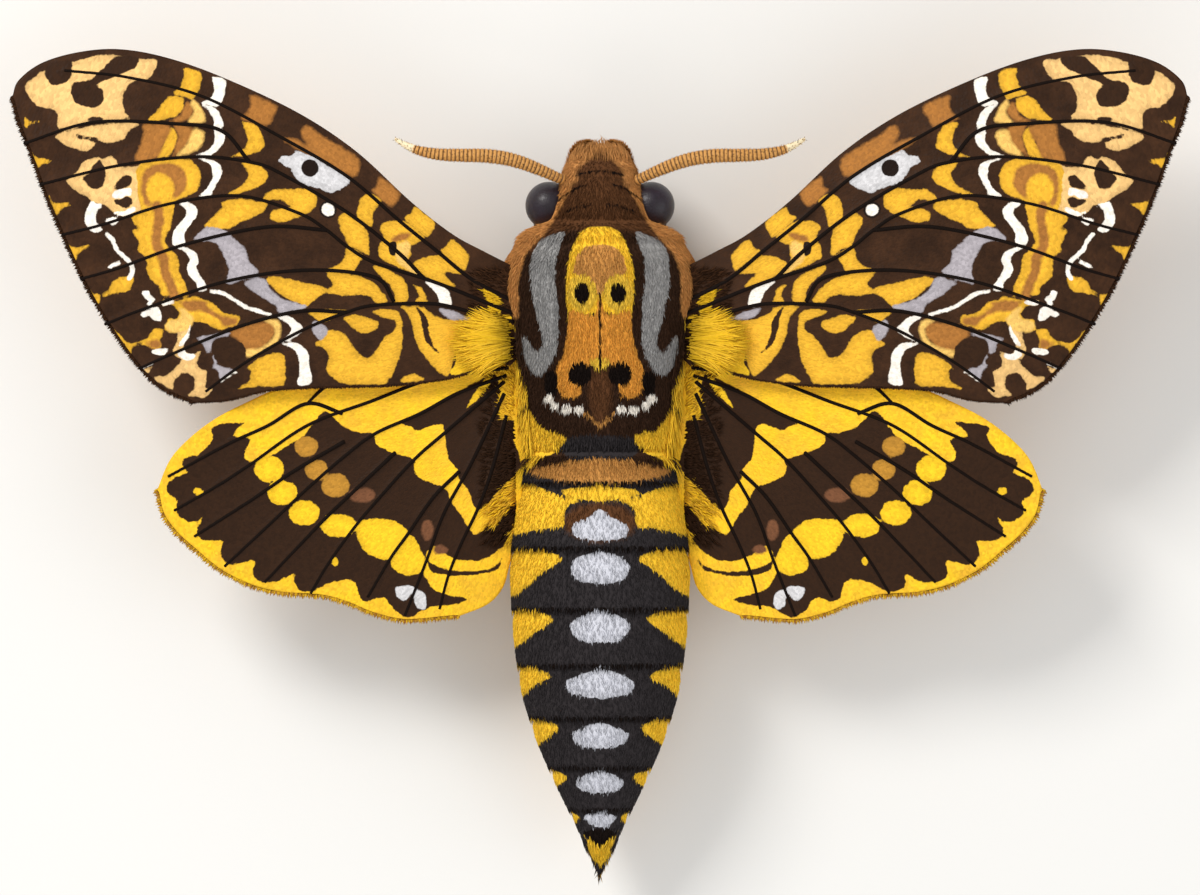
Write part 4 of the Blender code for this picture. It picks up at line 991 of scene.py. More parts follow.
def blade_points(roots, chosen, rings):
    """The points of the chosen tufts and how far along its tuft each one is."""
    spot, lie, up = (roots[key][chosen][:, None] for key in ("spot", "lie", "up"))
    sizes = ("length", "width", "lift", "sway")
    length, width, lift, sway = (roots[key][chosen][:, None, None] for key in sizes)
    side = np.cross(lie, up)
    shares = np.array([*np.repeat(BLADE_SHARES[rings], 3), 1.0])
    widths = np.array([*np.repeat(BLADE_SIZES[rings], 3), 0.0])[None, :, None]
    edge = np.array([*np.tile((-1.0, 1.0, 0.0), rings), 0.0])[None, :, None]
    ridge = np.array([*np.tile((0.0, 0.0, BLADE_RIDGE), rings), 0.0])[None, :, None]
    place = shares[None, :, None]
    curl = BLADE_CURL[0] - BLADE_CURL[1] * place
    rise = length * np.sin(lift) * place * curl - ROOT_DEPTH * (1 - place)
    middle = spot + lie * length * np.cos(lift) * place + up * rise + side * sway * length * place**2
    return middle + (side * edge + up * ridge) * widths * width, shares


# Sockets of the shader node groups, how deep in mm a mark's rim reaches, and millimetres in a metre
COLOUR = "NodeSocketColor"
NUMBER = "NodeSocketFloat"
VECTOR = "NodeSocketVector"
MARK_DEPTH = 0.8
PER_MM = 1000.0


def shader_group(name, inputs, outputs):
    """A new shader node group with its sockets, and its first and last nodes."""
    group = bpy.data.node_groups.new(name, "ShaderNodeTree")
    for label, kind in inputs.items():
        group.interface.new_socket(name=label, in_out="INPUT", socket_type=kind)
    for label, kind in outputs.items():
        group.interface.new_socket(name=label, in_out="OUTPUT", socket_type=kind)
    return group, group.nodes.new("NodeGroupInput"), group.nodes.new("NodeGroupOutput")


def set_inputs(tree, node, inputs):
    """Gives the node its inputs, as numbers or as sockets to link from."""
    for key, value in inputs.items():
        if isinstance(value, bpy.types.NodeSocket):
            tree.links.new(value, node.inputs[key])
        else:
            node.inputs[key].default_value = value
    return node


def add_node(tree, kind, inputs=None, **values):
    """A node with its settings and its inputs."""
    node = tree.nodes.new(kind)
    for key, value in values.items():
        setattr(node, key, value)
    return set_inputs(tree, node, inputs or {})


def maths(tree, operation, *values):
    """The result of one sum on sockets and numbers."""
    return add_node(tree, "ShaderNodeMath", dict(enumerate(values)), operation=operation).outputs[0]


def mix(tree, factor, low, high):
    """Two colours mixed by a factor."""
    mixed = add_node(tree, "ShaderNodeMix", {"Factor": factor, 6: low, 7: high}, data_type="RGBA")
    return mixed.outputs[2]


def scaled(tree, colour, share):
    """The colour times a share."""
    made = add_node(tree, "ShaderNodeVectorMath", {0: colour, "Scale": share}, operation="SCALE")
    return made.outputs[0]


def mark_group(name):
    """Lays one colour over another where a distance is below nothing, with a ragged edge."""
    inputs = {"Under": COLOUR, "Paint": COLOUR}
    inputs.update(dict.fromkeys(("Distance", "Grain", "Rag", "Rim", "Soft"), NUMBER))
    group, start, end = shader_group(name, inputs, {"Color": COLOUR})
    sent = start.outputs
    ragged = maths(group, "MULTIPLY_ADD", sent["Grain"], sent["Rag"], sent["Distance"])
    inner = maths(group, "MULTIPLY", sent["Soft"], -1.0)
    edge = add_node(group, "ShaderNodeMapRange", {
        "Value": ragged, "From Min": inner, "From Max": sent["Soft"], "To Min": 1.0, "To Max": 0.0,
    })
    core = add_node(group, "ShaderNodeMapRange", {
        "Value": ragged, "From Min": -MARK_DEPTH, "From Max": 0.0, "To Min": 1.0,
        "To Max": maths(group, "SUBTRACT", 1.0, sent["Rim"]),
    })
    mixed = mix(group, edge.outputs[0], sent["Under"], scaled(group, sent["Paint"], core.outputs[0]))
    group.links.new(mixed, end.inputs["Color"])
    return group


def scale_group(name):
    """Rows of tiny overlapping scales: how light each one is, and their height."""
    inputs = {"Vector": VECTOR, "Fineness": NUMBER}
    group, start, end = shader_group(name, inputs, {"Shade": NUMBER, "Height": NUMBER})
    cells = add_node(group, "ShaderNodeTexVoronoi", {
        "Vector": start.outputs["Vector"], "Scale": start.outputs["Fineness"], "Randomness": 0.8,
    })
    parts = add_node(group, "ShaderNodeSeparateColor", {0: cells.outputs["Color"]})
    group.links.new(parts.outputs[0], end.inputs["Shade"])
    group.links.new(maths(group, "SUBTRACT", 1.0, cells.outputs["Distance"]), end.inputs["Height"])
    return group


def shade_group(name):
    """Makes a colour lighter or darker by a share, and darker towards the root of a tuft."""
    inputs = {"Color": COLOUR, "Shade": NUMBER, "Depth": NUMBER, "Tip": NUMBER, "Root": NUMBER}
    group, start, end = shader_group(name, inputs, {"Color": COLOUR})
    sent = start.outputs
    varied = maths(group, "MULTIPLY_ADD", maths(group, "SUBTRACT", sent["Shade"], 0.5), sent["Depth"], 1.0)
    rooted = maths(group, "MULTIPLY_ADD", maths(group, "SUBTRACT", 1.0, sent["Tip"]), sent["Root"], 1.0)
    share = maths(group, "MULTIPLY", varied, rooted)
    group.links.new(scaled(group, sent["Color"], share), end.inputs["Color"])
    return group


def place_group(tree, make, name, inputs):
    """The node group of that name placed in a material. The group is made the first time."""
    group = bpy.data.node_groups.get(name) or make(name)
    return add_node(tree, "ShaderNodeGroup", inputs, node_tree=group)


def value_of(tree, name):
    """The number that each vertex holds under a name."""
    return add_node(tree, "ShaderNodeAttribute", attribute_name=name).outputs["Fac"]


def grain_of(tree, fineness, detail=3.0):
    """A cloudy noise round nothing, with its fineness in waves per millimetre."""
    place = add_node(tree, "ShaderNodeTexCoord").outputs["Object"]
    noise = add_node(tree, "ShaderNodeTexNoise", {
        "Vector": place, "Scale": fineness * PER_MM, "Detail": detail, "Roughness": 0.6,
    })
    return maths(tree, "SUBTRACT", noise.outputs["Fac"], 0.5)


def cloud_of(tree, fineness, detail=3.0):
    """The same noise from 0 to 1."""
    return maths(tree, "ADD", grain_of(tree, fineness, detail), 0.5)


def painted(tree, colour, layers, grain):
    """The layers of marks laid over a colour.

    A layer is its name and tone, how ragged its edge is in mm, how much darker it is there, and half the
    width in mm over which it fades out.
    """
    for name, tone_name, rag, rim, soft in layers:
        colour = place_group(tree, mark_group, "Mark", {
            "Under": colour, "Paint": tone(tone_name), "Distance": value_of(tree, name), "Grain": grain,
            "Rag": rag, "Rim": rim, "Soft": soft,
        }).outputs[0]
    return colour


def blended(tree, low, high, factor):
    """Two tones mixed by a factor."""
    return mix(tree, factor, tone(low), tone(high))


def shaded(tree, colour, shade, depth, tip=1.0, root=0.0):
    """The colour varied by a shade from 0 to 1."""
    return place_group(tree, shade_group, "Shade", {
        "Color": colour, "Shade": shade, "Depth": depth, "Tip": tip, "Root": root,
    }).outputs[0]


def begin_material(name, roughness, **constants):
    """A new material with its shader's plain numbers, given with _ for each space."""
    made = bpy.data.materials.new(name)
    made.use_nodes = True
    shader = made.node_tree.nodes["Principled BSDF"]
    shader.inputs["Roughness"].default_value = roughness
    for key, value in constants.items():
        shader.inputs[key.replace("_", " ")].default_value = value
    return made, made.node_tree


def end_material(made, colour, height, depth, rough=None, strength=0.6):
    """Wires to the shader its colour, a relief with its depth in mm, and a roughness if that varies."""
    tree = made.node_tree
    relief = {"Height": height, "Distance": depth * MM, "Strength": strength}
    sent = {"Base Color": colour, "Normal": add_node(tree, "ShaderNodeBump", relief).outputs[0]}
    if rough:
        sent["Roughness"] = rough
    set_inputs(tree, tree.nodes["Principled BSDF"], sent)
    return made


# Layers of each part from the lowest to the highest, as painted() takes them
FOREWING_LAYERS = (
    ("cream", "cream", 0.45, 0.2, 0.06), ("umber", "umber", 0.4, 0.0, 0.06),
    ("gold", "gold", 0.5, 0.22, 0.07), ("ochre", "ochre", 0.5, 0.1, 0.16),
    ("light", "light", 0.4, 0.1, 0.14), ("lilac", "lilac", 0.5, 0.15, 0.08),
    ("pearl", "pearl", 0.6, 0.2, 0.05), ("dark", "dark", 0.2, 0.0, 0.04),
    ("spot", "umber", 0.5, 0.0, 0.05), ("white", "white", 0.35, 0.05, 0.05),
    ("tuft", "tuft", 0.5, 0.1, 0.05),
)
HINDWING_LAYERS = (
    ("field", "hind_field", 0.5, 0.0, 0.05), ("yellow", "hind_yellow", 0.5, 0.15, 0.05),
    ("ochre", "hind_ochre", 0.4, 0.15, 0.07), ("brown", "hind_brown", 0.4, 0.1, 0.12),
    ("white", "pearl", 0.4, 0.05, 0.05),
)
TRUNK_LAYERS = (
    ("head", "head", 0.6, 0.0, 0.2), ("abdomen", "abdomen", 0.6, 0.0, 0.1),
    ("breast", "breast", 1.4, 0.0, 0.3), ("belly", "belly", 1.0, 0.1, 0.2),
    ("crown", "crown", 0.8, 0.0, 0.3), ("ochre", "band", 0.4, 0.1, 0.1), ("grey", "grey", 0.4, 0.1, 0.05),
    ("yellow", "yellow", 0.3, 0.1, 0.05), ("tan", "tan", 0.4, 0.1, 0.06),
    ("orange", "orange", 0.35, 0.1, 0.05), ("gold", "ring", 0.2, 0.1, 0.05),
    ("black", "black", 0.15, 0.0, 0.04), ("joint", "black", 0.1, 0.0, 0.06),
    ("teeth", "white", 0.2, 0.0, 0.04), ("pale", "pale", 0.45, 0.15, 0.05),
)


def wing_material(name, low, high, layers, mottle):
    """Powdery wing scales: the marks over a mottled ground, with a shade and a relief for each scale."""
    made, tree = begin_material(name, 0.62, Specular_IOR_Level=0.1)
    ground = blended(tree, low, high, maths(tree, "MULTIPLY_ADD", grain_of(tree, 0.35, 5.0), 2.6, 0.35))
    colour = painted(tree, ground, layers, grain_of(tree, 1.6))
    lie = add_node(tree, "ShaderNodeUVMap", uv_map="Lie").outputs[0]
    scales = place_group(tree, scale_group, "Scale rows", {"Vector": lie, "Fineness": 1.0}).outputs
    colour = shaded(tree, colour, cloud_of(tree, 0.5, 4.0), mottle)
    colour = shaded(tree, colour, scales["Shade"], 0.3)
    rough = maths(tree, "MULTIPLY_ADD", scales["Shade"], 0.22, 0.5)
    return end_material(made, colour, scales["Height"], 0.06, rough)


def trunk_material(name, furred):
    """The trunk's coat or the skin under it, with the same marks on both."""
    made, tree = begin_material(name, 0.8, Specular_IOR_Level=0.06)
    ground = blended(tree, "thorax", "wing_base", cloud_of(tree, 0.5))
    colour = painted(tree, ground, TRUNK_LAYERS, grain_of(tree, 1.3))
    if furred:
        colour = shaded(tree, colour, value_of(tree, "shade"), 0.42, value_of(tree, "tip"), -0.32)
        return end_material(made, colour, grain_of(tree, 9.0, 2.0), 0.02)
    colour = shaded(tree, colour, cloud_of(tree, 5.0), 0.7)
    return end_material(made, colour, grain_of(tree, 5.0), 0.12)


def hair_material(name, low, high, layers=()):
    """Hair of two tones mixed tuft by tuft, darker at the roots, with its wing's marks if it has any."""
    made, tree = begin_material(name, 0.75, Specular_IOR_Level=0.06)
    colour = blended(tree, low, high, value_of(tree, "shade"))
    if layers:
        colour = painted(tree, colour, layers, grain_of(tree, 1.3))
        colour = shaded(tree, colour, value_of(tree, "shade"), 0.45, value_of(tree, "tip"), -0.4)
    else:
        colour = shaded(tree, colour, cloud_of(tree, 3.0), 0.3, value_of(tree, "tip"), -0.4)
    return end_material(made, colour, grain_of(tree, 9.0, 2.0), 0.02)


def ringed_material(name, low, high, layers, roughness, relief, coat_weight=0.0, gloss=0.2):
    """Horny skin with a mottled ground, rings laid over it and a fine relief."""
    made, tree = begin_material(
        name, roughness, Coat_Weight=coat_weight, Coat_Roughness=0.25, Specular_IOR_Level=gloss
    )
    ground = blended(tree, low, high, maths(tree, "MULTIPLY_ADD", grain_of(tree, 1.5), 2.0, 0.5))
    colour = painted(tree, ground, layers, grain_of(tree, 4.0))
    colour = shaded(tree, colour, cloud_of(tree, 7.0), 0.5)
    rough = maths(tree, "MULTIPLY_ADD", grain_of(tree, 3.0), 0.3, roughness)
    return end_material(made, colour, grain_of(tree, 8.0), relief, rough)


def eye_material(name):
    """Glossy compound eye: tiny domed facets over a dark ground that clouds from one tone to another."""
    made, tree = begin_material(name, 0.36, Coat_Weight=0.12, Coat_Roughness=0.15, Specular_IOR_Level=0.3)
    place = add_node(tree, "ShaderNodeTexCoord").outputs["Object"]
    fineness = {"Vector": place, "Fineness": 9.0 * PER_MM}
    facets = place_group(tree, scale_group, "Scale rows", fineness).outputs
    colour = shaded(tree, blended(tree, "eye", "black", cloud_of(tree, 0.4)), facets["Shade"], 0.5)
    rough = maths(tree, "MULTIPLY_ADD", facets["Shade"], 0.14, 0.3)
    return end_material(made, colour, facets["Height"], 0.03, rough, 0.8)


def floor_material(name):
    """Pale matt board with a faint tooth."""
    made, tree = begin_material(name, 0.9, Specular_IOR_Level=0.2)
    pale = tone("floor")
    lighter = (*(share * 1.03 for share in pale[:3]), 1.0)
    colour = mix(tree, cloud_of(tree, 0.02), pale, lighter)
    return end_material(made, colour, grain_of(tree, 2.0), 0.02, strength=0.3)


def material_of(make, name, *values):
    """The material of that name, made the first time."""
    return bpy.data.materials.get(name) or make(name, *values)


# Places of the skin's rings along each abdominal ring, their count before it, and how far its ends reach
SEGMENT_RINGS = (0.0, 0.02, 0.06, 0.12, 0.2, 0.3, 0.42, 0.55, 0.68, 0.8, 0.9, 0.96, 0.99)
FRONT_RINGS = 124
SNOUT_REACH = 0.35
TAIL_REACH = 0.2


def trunk_backs():
    """Places of the skin's rings: even over head and thorax, closer where abdominal rings meet."""
    backs = list(np.linspace(HEAD[0][0], SEGMENT_ENDS[0], FRONT_RINGS)[:-1])
    for start, end in zip(SEGMENT_ENDS, SEGMENT_ENDS[1:]):
        backs += [start + (end - start) * share for share in SEGMENT_RINGS]
    return np.array([*backs, SEGMENT_ENDS[-1]])


def build_trunk():
    """One skin for the head, thorax and abdomen, under their fur."""
    backs = trunk_backs()
    spots = trunk_points(np.repeat(backs, TRUNK_SEGMENTS), np.tile(full_turn(TRUNK_SEGMENTS), len(backs)))
    rings = spots.reshape(len(backs), TRUNK_SEGMENTS, 3)
    tips = ((0, HEAD[0][0] - SNOUT_REACH, HEAD[0][3]), (0, ABDOMEN[-1][0] + TAIL_REACH, ABDOMEN[-1][3]))
    obj, _along, _round = drawn_skin(rings, tips)
    for layer, values in trunk_layers(get_points(obj)).items():
        set_values(obj.data, layer, values)
    skin = material_of(trunk_material, "trunk_skin", False)
    finish_piece(obj, "body_skin", "dark_fur", skin, "head", "thorax", "abdomen")


def ring_turns(count, draw):
    """Angles spread unevenly once round."""
    jitter = draw.uniform(-0.4, 0.4, count) + draw.uniform()
    return (np.arange(count) + jitter) * 2 * math.pi / count


def trunk_roots(rows, spacing, draw):
    """Spread-out places along and round the trunk for the roots of tufts."""
    backs, angles = [], []
    widths, heights, _centres = trunk_shape(rows)
    for row, width, height in zip(rows, widths, heights):
        count = max(8, int(math.pi * (width + height) / spacing))
        angles.append(ring_turns(count, draw))
        backs.append(row + draw.uniform(-0.5, 0.5, count) * spacing)
    return np.concatenate(backs), np.concatenate(angles)


# How far along a tuft the place lies whose marks it shows
SEEN_SHARE = 0.55
# How far from an eye and before the snout fur may root, the steps that measure its lie, and its straying
EYE_CLEARANCE = 0.3
SNOUT_CLEARANCE = 1
LIE_STEP = 0.25
TURN_STEP = 0.03
YAW = 0.16


def trunk_tufts(backs, angles, length, width, lift, draw, sway=0.12, way=1):
    """What coat() needs for tufts on the trunk that lie back, or forward where way is -1.

    Those that would root in an eye are left out.
    """
    spots = trunk_points(backs, angles)
    from_eye = np.abs(spots) * (1, 0, 0) + spots * (0, 1, 1) - np.array(EYE_CENTRE)
    clear = np.linalg.norm(from_eye, axis=1) > EYE_RADIUS + EYE_CLEARANCE
    clear &= spots[:, 1] > HEAD[0][0] - SNOUT_CLEARANCE
    length, width, lift = (np.resize(value, len(backs))[clear] for value in (length, width, lift))
    backs, angles, spots = backs[clear], angles[clear], spots[clear]
    lie = unit(trunk_points(backs + LIE_STEP, angles) - trunk_points(backs - LIE_STEP, angles))
    around = unit(trunk_points(backs, angles + TURN_STEP) - trunk_points(backs, angles - TURN_STEP))
    up = unit(np.cross(lie, around))
    count = len(backs)
    yaw = draw.normal(0, YAW, count)[:, None]
    lie = way * unit(lie * np.cos(yaw) + np.cross(lie, up) * np.sin(yaw))
    aim = lie * np.cos(lift)[:, None] + up * np.sin(lift)[:, None]
    return {
        "spot": spots,
        "lie": lie,
        "up": up,
        "length": length * draw.uniform(0.75, 1.2, count),
        "width": width * draw.uniform(0.8, 1.2, count),
        "lift": lift * draw.uniform(0.7, 1.3, count),
        "sway": draw.normal(0, sway, count),
        "bake": np.column_stack([
            (angles / (2 * math.pi)) % 1, (backs - HEAD[0][0]) / (ABDOMEN[-1][0] - HEAD[0][0]),
        ]),
        "shade": draw.uniform(0, 1, count),
        "marks": trunk_layers(spots + aim * length[:, None] * SEEN_SHARE),
    }


# Fur of head and thorax. All lifts are in radians
BROW_LENGTH = 0.55
HEAD_GROWTH = 0.3
GROWTH_RUN = 6.0
NECK_RUN = 3.0
FUR_WIDTH = 0.075
FUR_LIFT = 0.36
THORAX_FLATTER = 0.12
# Hair that points forward from the brow
BROW_ROWS = (-31.5, -29.9)
BROW_SPACING = 0.17
BROW_LOW = -0.25
BROW_HAIR = (1.5, FUR_WIDTH, 0.3)
# Margins of the fur before and behind its ends
SNOUT_MARGIN = 0.1
WAIST_MARGIN = 0.4


def build_front_fur():
    """The dense short fur of the head and thorax, on every side."""
    draw = np.random.default_rng(SEED)
    sizes = settings()
    spacing = sizes.fur_spacing / MM
    rows = np.arange(HEAD[0][0] + SNOUT_MARGIN, THORAX_END + WAIST_MARGIN, spacing)
    backs, angles = trunk_roots(rows, spacing, draw)
    grown = np.clip((backs - HEAD[0][0]) / GROWTH_RUN, 0, 1)
    furry = np.clip((backs - HEAD_END) / NECK_RUN, 0, 1)
    length = (BROW_LENGTH + HEAD_GROWTH * grown) * (1 - furry) + furry * sizes.thorax_hair / MM
    lift = FUR_LIFT - THORAX_FLATTER * furry
    fur = material_of(trunk_material, "trunk_fur", True)
    coat("body_fur", trunk_tufts(backs, angles, length, FUR_WIDTH, lift, draw), "dark_fur", fur)
    backs, angles = trunk_roots(np.arange(*BROW_ROWS, BROW_SPACING), BROW_SPACING, draw)
    upper = np.sin(angles) > BROW_LOW
    coat("brow_fur", trunk_tufts(backs[upper], angles[upper], *BROW_HAIR, draw, way=-1), "dark_fur", fur)


# Long locks at the thorax's sides, and on top of it from REAR_LOCKS on
LONG_ROWS = (-14.5, -0.4)
LONG_ROW_STEP = 0.3
LONG_SPACING = 0.34
REAR_LOCKS = -2.6
SIDE_HIGH = 0.5
SIDE_LOW = -0.35
SIDE_LOCK = 1.7
LOCK_GROWTH = 1.0
TOP_LOCK = 1.6
LOCK_WIDTH = 0.1
LOCK_LIFTS = (0.3, 0.16)
LOCK_SWAY = 0.2


def build_long_locks():
    """Longer hair that hangs back from the thorax over the waist and the wing roots."""
    draw = np.random.default_rng(SEED + 1)
    backs, angles = trunk_roots(np.arange(*LONG_ROWS, LONG_ROW_STEP), LONG_SPACING, draw)
    side = (np.sin(angles) < SIDE_HIGH) & (np.sin(angles) > SIDE_LOW)
    kept = side | ((backs > REAR_LOCKS) & (np.sin(angles) > 0))
    backs, angles, side = backs[kept], angles[kept], side[kept]
    near_end = np.clip((backs - LONG_ROWS[0]) / (LONG_ROWS[1] - LONG_ROWS[0]), 0, 1)
    length = np.where(side, SIDE_LOCK + LOCK_GROWTH * near_end, TOP_LOCK)
    fur = material_of(trunk_material, "trunk_fur", True)
    roots = trunk_tufts(backs, angles, length, LOCK_WIDTH, np.where(side, *LOCK_LIFTS), draw, LOCK_SWAY)
    coat("thorax_locks", roots, "dark_fur", fur, 3)


# Scales of the abdomen: width and lift, then how far before its first ring they start
SCALE_TUFT = (0.12, 0.17)
SCALES_BEFORE = 1.6
# Fringe of a ring and tuft of the tail: length, width and lift, then their places and spacing
FRINGE_TUFT = (1.15, 0.09, 0.1)
FRINGE_ROWS = (0.75, 0.45, 0.2)
FRINGE_ROOTS = 0.17
TAIL_TUFT = (1.5, 0.09, 0.16)
TAIL_START = 37.5
TAIL_ROW_STEP = 0.22
TAIL_SPACING = 0.25


def build_abdomen_scales():
    """The close scales of the abdomen, and the ragged fringe along the hind edge of each ring."""
    draw = np.random.default_rng(SEED + 2)
    sizes = settings()
    spacing = sizes.scale_spacing / MM
    fur = material_of(trunk_material, "trunk_fur", True)
    rows = np.arange(SEGMENT_ENDS[1] - SCALES_BEFORE, ABDOMEN[-1][0] - TAIL_REACH, spacing)
    roots = trunk_roots(rows, spacing, draw)
    tuft = (sizes.abdomen_hair / MM, *SCALE_TUFT)
    coat("abdomen_scales", trunk_tufts(*roots, *tuft, draw, 0.08), "abdomen", fur)
    rows = np.array([end - before for end in SEGMENT_ENDS[1:-1] for before in FRINGE_ROWS])
    roots = trunk_roots(rows, FRINGE_ROOTS, draw)
    coat("abdomen_fringes", trunk_tufts(*roots, *FRINGE_TUFT, draw, 0.1), "abdomen", fur)
    roots = trunk_roots(np.arange(TAIL_START, ABDOMEN[-1][0], TAIL_ROW_STEP), TAIL_SPACING, draw)
    coat("tail_tuft", trunk_tufts(*roots, *TAIL_TUFT, draw, 0.1), "abdomen", fur)


# Points along a wing's outer margin, and how its draw-in for the fringe fades towards its ends
MARGIN_POINTS = 200
MARGIN_EASE = 0.4


def wing_sides(outline, corners, inset):
    """The four sides of a wing's plan: front, outer margin drawn in for the fringe, hind edge and root."""
    first, apex, corner, last = corners
    points = np.array(outline)
    outer = even_points(points[apex : corner + 1], MARGIN_POINTS)
    along = unit(np.gradient(outer, axis=0))
    inwards = np.column_stack([-along[:, 1], along[:, 0]])
    half = MARGIN_POINTS // 2
    if (points.mean(0) - outer[half]) @ inwards[half] < 0:
        inwards = -inwards
    ease = np.sin(np.linspace(0, math.pi, MARGIN_POINTS)) ** MARGIN_EASE
    outer = outer + inwards * inset * ease[:, None]
    return points[first : apex + 1], outer, points[corner : last + 1][::-1], points[[first, last]]


def wing_plan(sides, columns, rows):
    """Even rows and columns of points over a wing's plan, between its four sides."""
    front, outer, hind, root = sides
    front, hind = even_points(front, columns)[:, None], even_points(hind, columns)[:, None]
    root, outer = even_points(root, rows)[None], even_points(outer, rows)[None]
    out = np.linspace(0, 1, columns)[:, None, None]
    back = np.linspace(0, 1, rows)[None, :, None]
    between = (1 - back) * front + back * hind + (1 - out) * root + out * outer
    inner, outermost = ((1 - back) * front[end] + back * hind[end] for end in (0, -1))
    return between - ((1 - out) * inner + out * outermost)


# Veins: the ridge's half width, then the tubes, which lie at a share of the ridge's height
VEIN_HALF_WIDTH = 0.4
VEIN_RADII = (0.23, 0.2, 0.17)
VEIN_STEP = 0.35
VEIN_POINTS = 6
VEIN_SIDES = 8
VEIN_SEAT = 0.8
PLEAT_WIDTH = 1.7
# Wing scales: their length, and their rows round a middle inwards of the root
SCALE_LENGTH = 0.3
SCALE_ROWS = 120
SCALE_MIDDLE = ROOT_ACROSS - 4.0
# Brown bands of the underside: distance in from the margin and half width, then the margin's own
UNDER_BANDS = ((8.5, 0.9), (13.5, 0.45), (17.0, 0.5))
UNDER_MARGIN = 2.0
UNDER_LAYERS = (("band", "under_band", 0.5, 0.0, 0.3),)
TOP_MOTTLE = 0.28
UNDER_MOTTLE = 0.35
# Fringe, with the share of its reach by which the margin gives way
FRINGE_WIDTH = 0.085
FRINGE_LIFT = 0.08
FRINGE_SPACING = 0.1
FRINGE_INSET = 0.12
FRINGE_SEAT = 0.8
# Hair over a wing's root
ROOT_HAIR = 1.2
ROOT_HAIR_WIDTH = 0.09
ROOT_HAIR_LIFT = 0.16
ROOT_HAIR_INSET = 0.6
ROOT_HAIR_STAND = 0.12
ROOT_HAIR_TOP_SHARE = 0.6
# The wings. mesh is columns and rows; a row of the fringe has its side of the plan, its way along that and
# its share of the reach; root_hair has first and last place, reach outwards, count and fan in radians
WINGS = {
    "forewing": {
        "seed": SEED + 3,
        "plan": (FOREWING_OUTLINE, FOREWING_CORNERS),
        "veins": FOREWING_VEINS,
        "form": FOREWING_FORM,
        "marks": FOREWING_MARKS,
        "layers": FOREWING_LAYERS,
        "mesh": (250, 134),
        "top": ("wing_base", "wing_base_light"),
        "under": ("under_yellow", "hind_ochre"),
        "fringe": ((1, 1, 0.95), (1, 1, 0.75), (2, -1, 0.5)),
        "fringe_hair": ("fringe_hair", "umber", "wing_base_light"),
        "root_tones": ("wing_base", "wing_base_light"),
        "root_hair": (-19.0, -10.2, 4.0, 1500, 0.5),
    },
    "hindwing": {
        "seed": SEED + 4,
        "plan": (HINDWING_OUTLINE, HINDWING_CORNERS),
        "veins": HINDWING_VEINS,
        "form": HINDWING_FORM,
        "marks": HINDWING_MARKS,
        "layers": HINDWING_LAYERS,
        "mesh": (166, 118),
        "top": ("hind_yellow", "gold"),
        "under": ("under_yellow", "hind_yellow"),
        "fringe": ((1, 1, 1.0), (1, 1, 0.75)),
        "fringe_hair": ("yellow_fringe", "ochre", "hind_yellow"),
        "root_tones": ("gold", "hind_yellow"),
        "root_hair": (-9.6, 8.0, 3.0, 1700, 0.9),
    },
}


def build_membranes(name, kind, finishes):
    """Both thin arched membranes, with raised veins and pleats between. Gives the sides of their plan."""
    sizes = settings()
    outline, corners = kind["plan"]
    columns, rows = kind["mesh"]
    sides = wing_sides(outline, corners, sizes.fringe / MM * FRINGE_SEAT)
    plan = wing_plan(sides, columns, rows)
    deselect()
    bpy.ops.mesh.primitive_grid_add(
        x_subdivisions=columns - 1, y_subdivisions=rows - 1, size=1.0, calc_uvs=True
    )
    obj = bpy.context.object
    grid = get_points(obj) * MM + 0.5
    column = np.rint(grid[:, 0] * (columns - 1)).astype(int)
    row = np.rint(grid[:, 1] * (rows - 1)).astype(int)
    spots = plan[column, row]
    lines = [even_points(vein, VEIN_POINTS * len(vein)) for vein in kind["veins"]]
    vein = np.min([line_distance(spots, line) for line in lines], axis=0)
    margin = line_distance(spots, sides[1])
    ridge = sizes.vein_height / MM * np.clip(1 - vein / VEIN_HALF_WIDTH, 0, 1)
    pleat = sizes.pleat_depth / MM * (1 - np.exp(-((vein / PLEAT_WIDTH) ** 2)))
    height = wing_height(kind["form"], spots[:, 0], spots[:, 1]) + ridge - pleat
    set_points(obj, np.column_stack([spots, height]))
    mesh = obj.data
    for layer, values in layer_distances(spots, kind["marks"]).items():
        set_values(mesh, layer, values)
    bands = [np.abs(margin - place) - half for place, half in UNDER_BANDS]
    set_values(mesh, "band", np.min([*bands, margin - UNDER_MARGIN], axis=0))
    offset = spots - np.array([SCALE_MIDDLE, outline[0][1] * 0.5 + outline[-1][1] * 0.5])
    turn = np.arctan2(offset[:, 1], offset[:, 0])
    outwards = np.linalg.norm(offset, axis=1) / SCALE_LENGTH
    mesh.uv_layers[0].name = "Lie"
    set_uv(mesh, "Lie", np.column_stack([outwards, turn * SCALE_ROWS]))
    for made in finishes:
        mesh.materials.append(made)
    wall = obj.modifiers.new("thickness", "SOLIDIFY")
    wall.thickness = sizes.wing_thickness
    wall.offset = 0.0
    wall.material_offset = 1
    wall.material_offset_rim = 1
    bpy.ops.object.modifier_apply(modifier=wall.name)
    finish_pair(obj, f"{name}_skin_left", name, None, f"{name}_left")
    build_veins(name, lines, kind["form"])
    return sides


